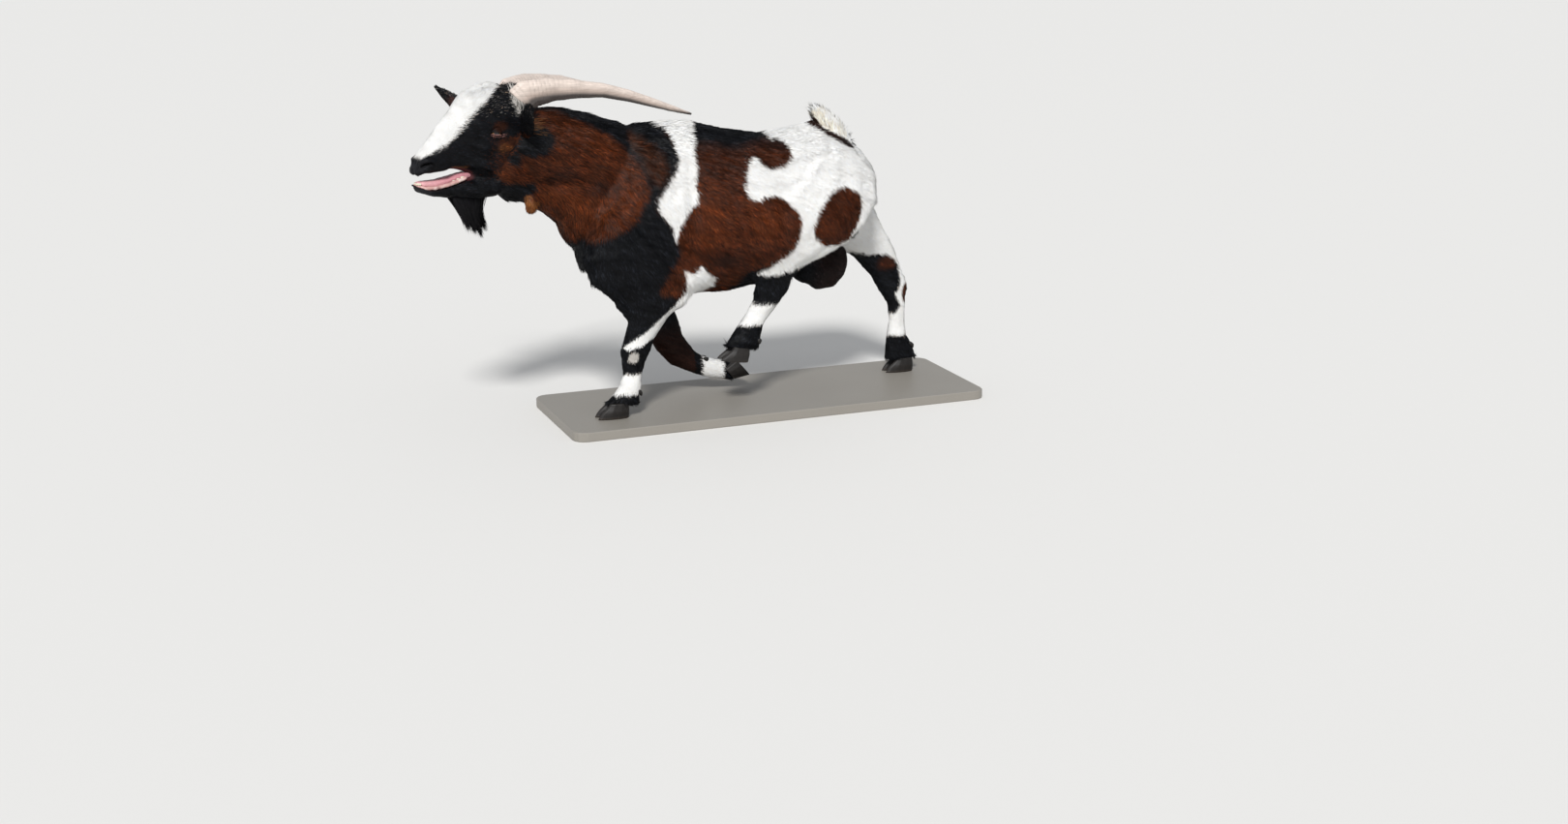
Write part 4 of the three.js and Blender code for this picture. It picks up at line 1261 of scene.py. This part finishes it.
def makeHorn(name, side):
    title = name.replace("horn", "hornSheath").replace("_", "")
    horn = remeshed([name], title, hornLook["voxel"], hornLook["smoothing"])
    points, normals = getPoints(horn), getNormals(horn)
    run, around, total = alongHorn(points, side)
    waver = 1.6 * wander(columns(run, 0, 0), 70)
    ring = np.abs(np.sin(run / hornLook["ringSpacing"] * math.pi + waver / 2)) ** 0.7 - 0.6
    fade = ramp(-run, -hornLook["ringsEnd"], -30) * ramp(run, 0, 12) * (0.75 + 0.25 * around)
    rise = ring * fade * hornLook["ringHeight"] + 0.35 * wander(toGoat(points), 26)
    setPoints(horn, pushed(points, normals, rise))
    # pale on top and dark beneath as painted light and shade, dark at the tip and darker at the root
    colour = plainColour(hornLook["side"], len(points))
    for shade, share in (
        ("top", ramp(around, -0.15, 0.6)), ("under", ramp(-around, 0.25, 0.75)),
        ("tip", ramp(run, total - 70, total - 6) * ramp(-around, -0.9, 0.4)),
        ("tip", ramp(run, total - 22, total) * 0.8), ("base", 0.6 * ramp(-run, -26, -4)),
    ):
        colour = mixColour(colour, hornLook[shade], share)
    colour *= (1 + 0.09 * wander(columns(run * 0.25, around * 12, 0), 9))[:, None]
    colour *= (1 - 0.3 * fade * ramp(-ring, 0.1, 0.6))[:, None]
    finish(horn, "hornColour", colour, hornMaterial, name)


for name, side in (("horn_left", -1), ("horn_right", 1)):
    makeHorn(name, side)
print("horns made")

# hoof: dark keratin wall, grown in fine rings parallel to the coronet, scuffed at the toe
hoofLook = {
    "voxel": 1.2, "smoothing": 12, "ringSpacing": 2.6, "ringHeight": 0.2, "taper": 0.12, "setBack": 6,
    "wall": "1c1917", "edge": "3a322b",
}
hoofGrain = {"grain": (500, 500, 60), "detail": 3.0, "shades": (0.75, 1.25), "bump": (0.4, 0.3)}
hoofMaterial = grainMaterial("darkHoofKeratin", "hoofColour", hoofGrain, in_Roughness=0.5,
                             in_Specular_IOR_Level=0.35)


def makeHoof(name):
    onGround = "right_claw" not in name or "hind" in name
    title = "hoof" + "".join(part.title() for part in name.split("_") if part != "claw")
    hoof = remeshed([name], title, hoofLook["voxel"], hoofLook["smoothing"])
    points, normals = getPoints(hoof), getNormals(hoof)
    low = points[:, 2].min()
    up = (points[:, 2] - low) / mm
    middle = points.mean(0)
    points += (middle - points) * (1, 1, 0) * (hoofLook["taper"] * ramp(up, 12, 32))[:, None] * onGround
    front = ramp(middle[0] - points[:, 0], 0, 0.02) * ramp(up, 8, 30) * onGround
    points += front[:, None] * np.array((hoofLook["setBack"], 0, 0)) * mm
    rings = np.sin(up / hoofLook["ringSpacing"] * 2 * math.pi + 0.8 * wander(toGoat(points), 20))
    flat = np.abs(normals[:, 2]) < 0.8
    points = pushed(points, normals, rings * flat * hoofLook["ringHeight"])
    points[:, 2] = np.maximum(points[:, 2], low)
    setPoints(hoof, points)
    scuffed = 0.7 * ramp(-up, -7, 0) + 0.15 * ramp(rings, 0.2, 1)
    colour = mixColour(plainColour(hoofLook["wall"], len(points)), hoofLook["edge"], scuffed)
    finish(hoof, "hoofColour", colour, hoofMaterial, name)


for foot in ("front_left", "front_right", "hind_left", "hind_right"):
    for claw in ("outer", "inner"):
        makeHoof(f"{foot}_claw_{claw}")

# dewclaws: two small horny knobs behind each fetlock: middle of the fetlock, way back, way down the leg
dewclawLook = {
    "size": (5.5, 5.0, 9.0), "apart": 9.5,
    "feet": [((-231, -62, 44), (1, 0, 0.1), (-0.1, 0, -1)), ((-22, 60, 46), (-0.5, 0, 1), (1, 0, -0.3)),
             ((-2, -72, 124), (1, 0, 0.1), (-0.5, 0, -0.9)), ((396, 62, 52), (1, 0, 0.1), (0, 0, -1))],
}


def makeDewclaws():
    pieces = []
    for middle, back, down in dewclawLook["feet"]:
        back, down = unit(np.array(back, float)), unit(np.array(down, float))
        for side in (-1, 1):
            inside = fromGoat(np.array(middle) + (0, side * dewclawLook["apart"] * 0.7, 0))
            hit = hair["tree"].ray_cast(Vector(inside), Vector(back))[0]
            spot = np.array(hit if hit else inside) + np.array((0, side * 1.5, 0)) * mm
            knob = addShape(bpy.ops.mesh.primitive_uv_sphere_add, segments=24, ring_count=16, radius=1)
            local = getPoints(knob)
            taper = 1 - 0.45 * ramp(local[:, 2], -0.2, 1.0)
            local = local * np.array(dewclawLook["size"]) * columns(taper, taper, 1)
            across = np.cross(down, back)
            local = local[:, :1] * back + local[:, 1:2] * across + local[:, 2:] * (down * 0.85 + back * 0.5)
            setPoints(knob, spot + local * mm)
            pieces.append(knob)
    knobs = joinPieces(pieces, "dewclaws")
    finish(knobs, "hoofColour", plainColour(hoofLook["wall"], len(knobs.data.vertices)), hoofMaterial)


makeDewclaws()
print("hoofs made")

# eyeball: a wet dark-rimmed amber iris with the level slot of a goat's pupil, under a clear cornea
eyeballLook = {
    "iris": 8.6, "pupil": (5.2, 1.7), "cornea": 1.1, "amber": "7d5524", "ring": "2a1a0e", "white": "4a3328",
    "slot": "050505",
}
eyeMaterial = smoothMaterial("wetEyeball", "eyeColour", in_Roughness=0.08, in_Specular_IOR_Level=0.6,
                             in_Coat_Weight=1.0, in_Coat_Roughness=0.02)[0]


def makeEye(name, side):
    eye = addShape(bpy.ops.mesh.primitive_uv_sphere_add, segments=96, ring_count=64, radius=eyeLook["radius"])
    eye.name = eye.data.name = name.replace("_", "Ball")
    local = getPoints(eye)
    away = np.hypot(local[:, 0], local[:, 1])
    front = local[:, 2] > 0
    local[:, 2] += eyeballLook["cornea"] * np.clip(1 - (away / eyeballLook["iris"]) ** 2, 0, 1) * front
    colour = plainColour(eyeballLook["white"], len(local))
    angle = np.arctan2(local[:, 1], local[:, 0])
    rays = 0.75 + 0.25 * np.sin(angle * 34 + 2 * np.sin(angle * 7)) * ramp(away, 2, 7)
    onIris = front * ramp(eyeballLook["iris"] - away, -0.3, 0.3)
    amber = np.array(linear(eyeballLook["amber"])) * rays[:, None]
    colour = colour + (amber - colour) * onIris[:, None]
    colour = mixColour(colour, eyeballLook["ring"], front * bell(away - eyeballLook["iris"] + 0.4, 1.1))
    wide, tall = eyeballLook["pupil"]
    slot = (np.abs(local[:, 0] / wide) ** 4 + np.abs(local[:, 1] / tall) ** 4) < 1
    colour[slot & front] = linear(eyeballLook["slot"])
    setPoints(eye, outOfEye(local, side))
    editAll(eye, bpy.ops.mesh.normals_make_consistent, inside=False)
    finish(eye, "eyeColour", colour, eyeMaterial, name)


for name, side in (("eye_left", -1), ("eye_right", 1)):
    makeEye(name, side)

# tongue and gum: wet pink flesh, the tongue with a groove and fine papillae
fleshLook = {
    "voxel": 1.2, "tongueSmoothing": 30, "gumSmoothing": 14, "tongue": "cf8f96", "tongueTip": "d9a3a6",
    "gum": "c79a94", "gumPale": "e6d6cd", "gumDark": "5b3438",
}
fleshMaterial, tree, shader = smoothMaterial("wetPinkFlesh", "fleshColour", in_Roughness=0.28,
                                             in_Specular_IOR_Level=0.5)
place = addNode(tree, "ShaderNodeTexCoord")
grain = addNode(tree, "ShaderNodeTexVoronoi", {"Vector": place.outputs["Object"]}, in_Scale=900.0)
bump = addNode(tree, "ShaderNodeBump", {"Height": grain.outputs["Distance"]}, in_Strength=0.25,
               in_Distance=0.0003)
tree.links.new(bump.outputs["Normal"], shader.inputs["Normal"])


def makeTongue():
    tongue = remeshed(["tongue"], "tongueFlesh", fleshLook["voxel"], fleshLook["tongueSmoothing"], 0.2)
    points, normals, head = getPoints(tongue), getNormals(tongue), toHead(getPoints(tongue))
    groove = bell(head[:, 1], 2.2) * ramp(normals[:, 2], 0.2, 0.7) * ramp(head[:, 0], -212, -195)
    setPoints(tongue, pushed(points, normals, -1.3 * groove + 0.35 * wander(head, 13)))
    colour = plainColour(fleshLook["tongue"], len(points))
    colour = mixColour(colour, fleshLook["tongueTip"], ramp(-head[:, 0], 150, 205))
    colour *= (1 - 0.3 * ramp(head[:, 0], -150, -100))[:, None] * (1 + 0.06 * wander(head, 8))[:, None]
    finish(tongue, "fleshColour", colour, fleshMaterial, "tongue")


makeTongue()


# teeth: eight spade-shaped lower front teeth and the first cheek teeth, set in the gum
teethLook = {
    "front": 8, "halfArc": 66, "arc": (9, 9.5), "middle": (-208.5, -71), "crown": (1.9, 1.1, 2.0),
    "bevel": 0.45, "ivory": "e8dfc9", "stained": "b79f76",
    "cheek": [(-128, 15.5), (-137, 16), (-146, 16.2)], "cheekCrown": (4.0, 2.6, 3.4),
}


def makeGum():
    gum = remeshed(["lower_teeth"], "lowerGum", fleshLook["voxel"], fleshLook["gumSmoothing"], 0.1)
    points, normals, head = getPoints(gum), getNormals(gum), toHead(getPoints(gum))
    setPoints(gum, pushed(points, normals, 0.5 * wander(head, 11)) - np.array((0, 0, 0.8)) * mm)
    colour = plainColour(fleshLook["gum"], len(points))
    colour = mixColour(colour, fleshLook["gumPale"], ramp(wander(head, 19, 0.7), 0.0, 0.8) * 0.7)
    colour = mixColour(colour, fleshLook["gumDark"], ramp(wander(head, 23, 2.0), 0.3, 0.9) * 0.5)
    finish(gum, "fleshColour", colour, fleshMaterial, "lower_teeth")


def makeTeeth():
    crowns, seats = [], []
    (middleX, middleZ), (arcX, arcY) = teethLook["middle"], teethLook["arc"]
    for k in range(teethLook["front"]):
        angle = math.radians(teethLook["halfArc"] * (2 * k / (teethLook["front"] - 1) - 1))
        spot = (middleX - arcX * math.cos(angle), arcY * math.sin(angle), middleZ)
        seats.append((spot, angle, teethLook["crown"]))
    for x, y in teethLook["cheek"]:
        for side in (-1, 1):
            seats.append(((x, side * y, -66 + (-122 - x) * -0.28), math.pi / 2, teethLook["cheekCrown"]))
    for spot, angle, (wide, deep, tall) in seats:
        crown = addShape(bpy.ops.mesh.primitive_cube_add, size=2)
        editAll(crown, bpy.ops.mesh.bevel, offset=teethLook["bevel"], segments=3, affect="EDGES")
        local = getPoints(crown)
        y = local[:, 0] * wide * (0.7 + 0.3 * ramp(local[:, 2], -1, 0.4))  # narrower at the root
        z = local[:, 2] * tall
        x = local[:, 1] * deep * (1.15 - 0.4 * ramp(local[:, 2], -1, 1)) - 0.25 * z
        c, d = math.cos(angle), math.sin(angle)
        turned = columns(x * c + y * d, y * c - x * d, z)
        setPoints(crown, fromHead(turned + spot))
        crowns.append(crown)
    teeth = joinPieces(crowns, "lowerTeethCrowns")
    head = toHead(getPoints(teeth))
    colour = plainColour(teethLook["ivory"], len(head))
    colour = mixColour(colour, teethLook["stained"], ramp(-head[:, 2], 70, 76) * 0.7)
    editAll(teeth, bpy.ops.mesh.normals_make_consistent, inside=False)
    enamel = smoothMaterial("toothEnamel", "toothColour", in_Roughness=0.25, in_Specular_IOR_Level=0.5)[0]
    finish(teeth, "toothColour", colour, enamel)


makeGum()
makeTeeth()
print("mouth made")

# base: a board sprayed with satin warm-grey lacquer, faint orange peel and dust in it
boardLook = {"colour": "8f8a82", "dark": "87827a", "peel": 260.0}
boardMaterial, tree, shader = newMaterial("satinLacqueredBoard", in_Roughness=0.45)
place = addNode(tree, "ShaderNodeTexCoord")
peel = addNode(tree, "ShaderNodeTexNoise", {"Vector": place.outputs["Object"]}, in_Scale=boardLook["peel"])
cloud = addNode(tree, "ShaderNodeTexNoise", {"Vector": place.outputs["Object"]}, in_Scale=6.0, in_Detail=4.0)
blend = addNode(tree, "ShaderNodeMix", data_type="RGBA")
blend.inputs["A"].default_value = (*linear(boardLook["colour"]), 1)
blend.inputs["B"].default_value = (*linear(boardLook["dark"]), 1)
tree.links.new(cloud.outputs["Fac"], blend.inputs["Factor"])
tree.links.new(blend.outputs["Result"], shader.inputs["Base Color"])
bump = addNode(tree, "ShaderNodeBump", {"Height": peel.outputs["Fac"]}, in_Strength=0.15, in_Distance=0.0004)
tree.links.new(bump.outputs["Normal"], shader.inputs["Normal"])
board = nodes["stand_base"]
for slot in board.material_slots:
    slot.material = boardMaterial

stage = {
    "floorColour": "e0deda", "floorSize": 60.0,
    "keyEnergy": 3.1, "keyAngle": 10, "keyFrom": (-0.6, -1.2, 1.25),
    "skyColour": "e8ecf2", "skyStrength": 0.55, "backdrop": "efeeeb",
    "lens": 46.667, "cameraAzimuth": -22.0, "cameraPitch": 15.6, "cameraPlace": (-1368.6, -3671.1, 1060.0),
}


def makeStage():
    floor = addShape(bpy.ops.mesh.primitive_plane_add, size=stage["floorSize"], location=(0, 0, 0))
    floor.name = "floor"
    material, tree, shader = newMaterial("paleFloorPaint", in_Roughness=0.9)
    shader.inputs["Base Color"].default_value = (*linear(stage["floorColour"]), 1)
    floor.data.materials.append(material)
    world = bpy.data.worlds.new("softSky")
    world.use_nodes = True
    tree = world.node_tree
    sky = tree.nodes["Background"]
    sky.inputs["Color"].default_value = (*linear(stage["skyColour"]), 1)
    sky.inputs["Strength"].default_value = stage["skyStrength"]
    backdrop = addNode(tree, "ShaderNodeBackground", in_Color=(*linear(stage["backdrop"]), 1))
    rays = addNode(tree, "ShaderNodeLightPath")
    seen = addNode(tree, "ShaderNodeMixShader", {"Fac": rays.outputs["Is Camera Ray"], 1: sky.outputs[0],
                                                 2: backdrop.outputs[0]})
    tree.links.new(seen.outputs[0], tree.nodes["World Output"].inputs["Surface"])
    bpy.context.scene.world = world
    lamp = bpy.data.objects.new("key", bpy.data.lights.new("key", "SUN"))
    lamp.data.energy = stage["keyEnergy"]
    lamp.data.angle = math.radians(stage["keyAngle"])
    lamp.rotation_mode = "QUATERNION"
    lamp.rotation_quaternion = Vector(stage["keyFrom"]).to_track_quat("Z", "Y")
    bpy.context.scene.collection.objects.link(lamp)
    camera = bpy.data.objects.new("camera", bpy.data.cameras.new("camera"))
    camera.data.sensor_width = 36
    camera.data.lens = stage["lens"]
    azimuth, pitch = math.radians(stage["cameraAzimuth"]), math.radians(stage["cameraPitch"])
    level = math.cos(pitch)
    back = Vector((math.sin(azimuth) * level, -math.cos(azimuth) * level, math.sin(pitch)))
    camera.location = fromGoat(stage["cameraPlace"])
    camera.rotation_mode = "QUATERNION"
    camera.rotation_quaternion = (-back).to_track_quat("-Z", "Y")
    camera.data.clip_end = 100
    bpy.context.scene.collection.objects.link(camera)
    bpy.context.scene.camera = camera
    bpy.context.scene.view_settings.view_transform = "Standard"


makeStage()
print("stage made")
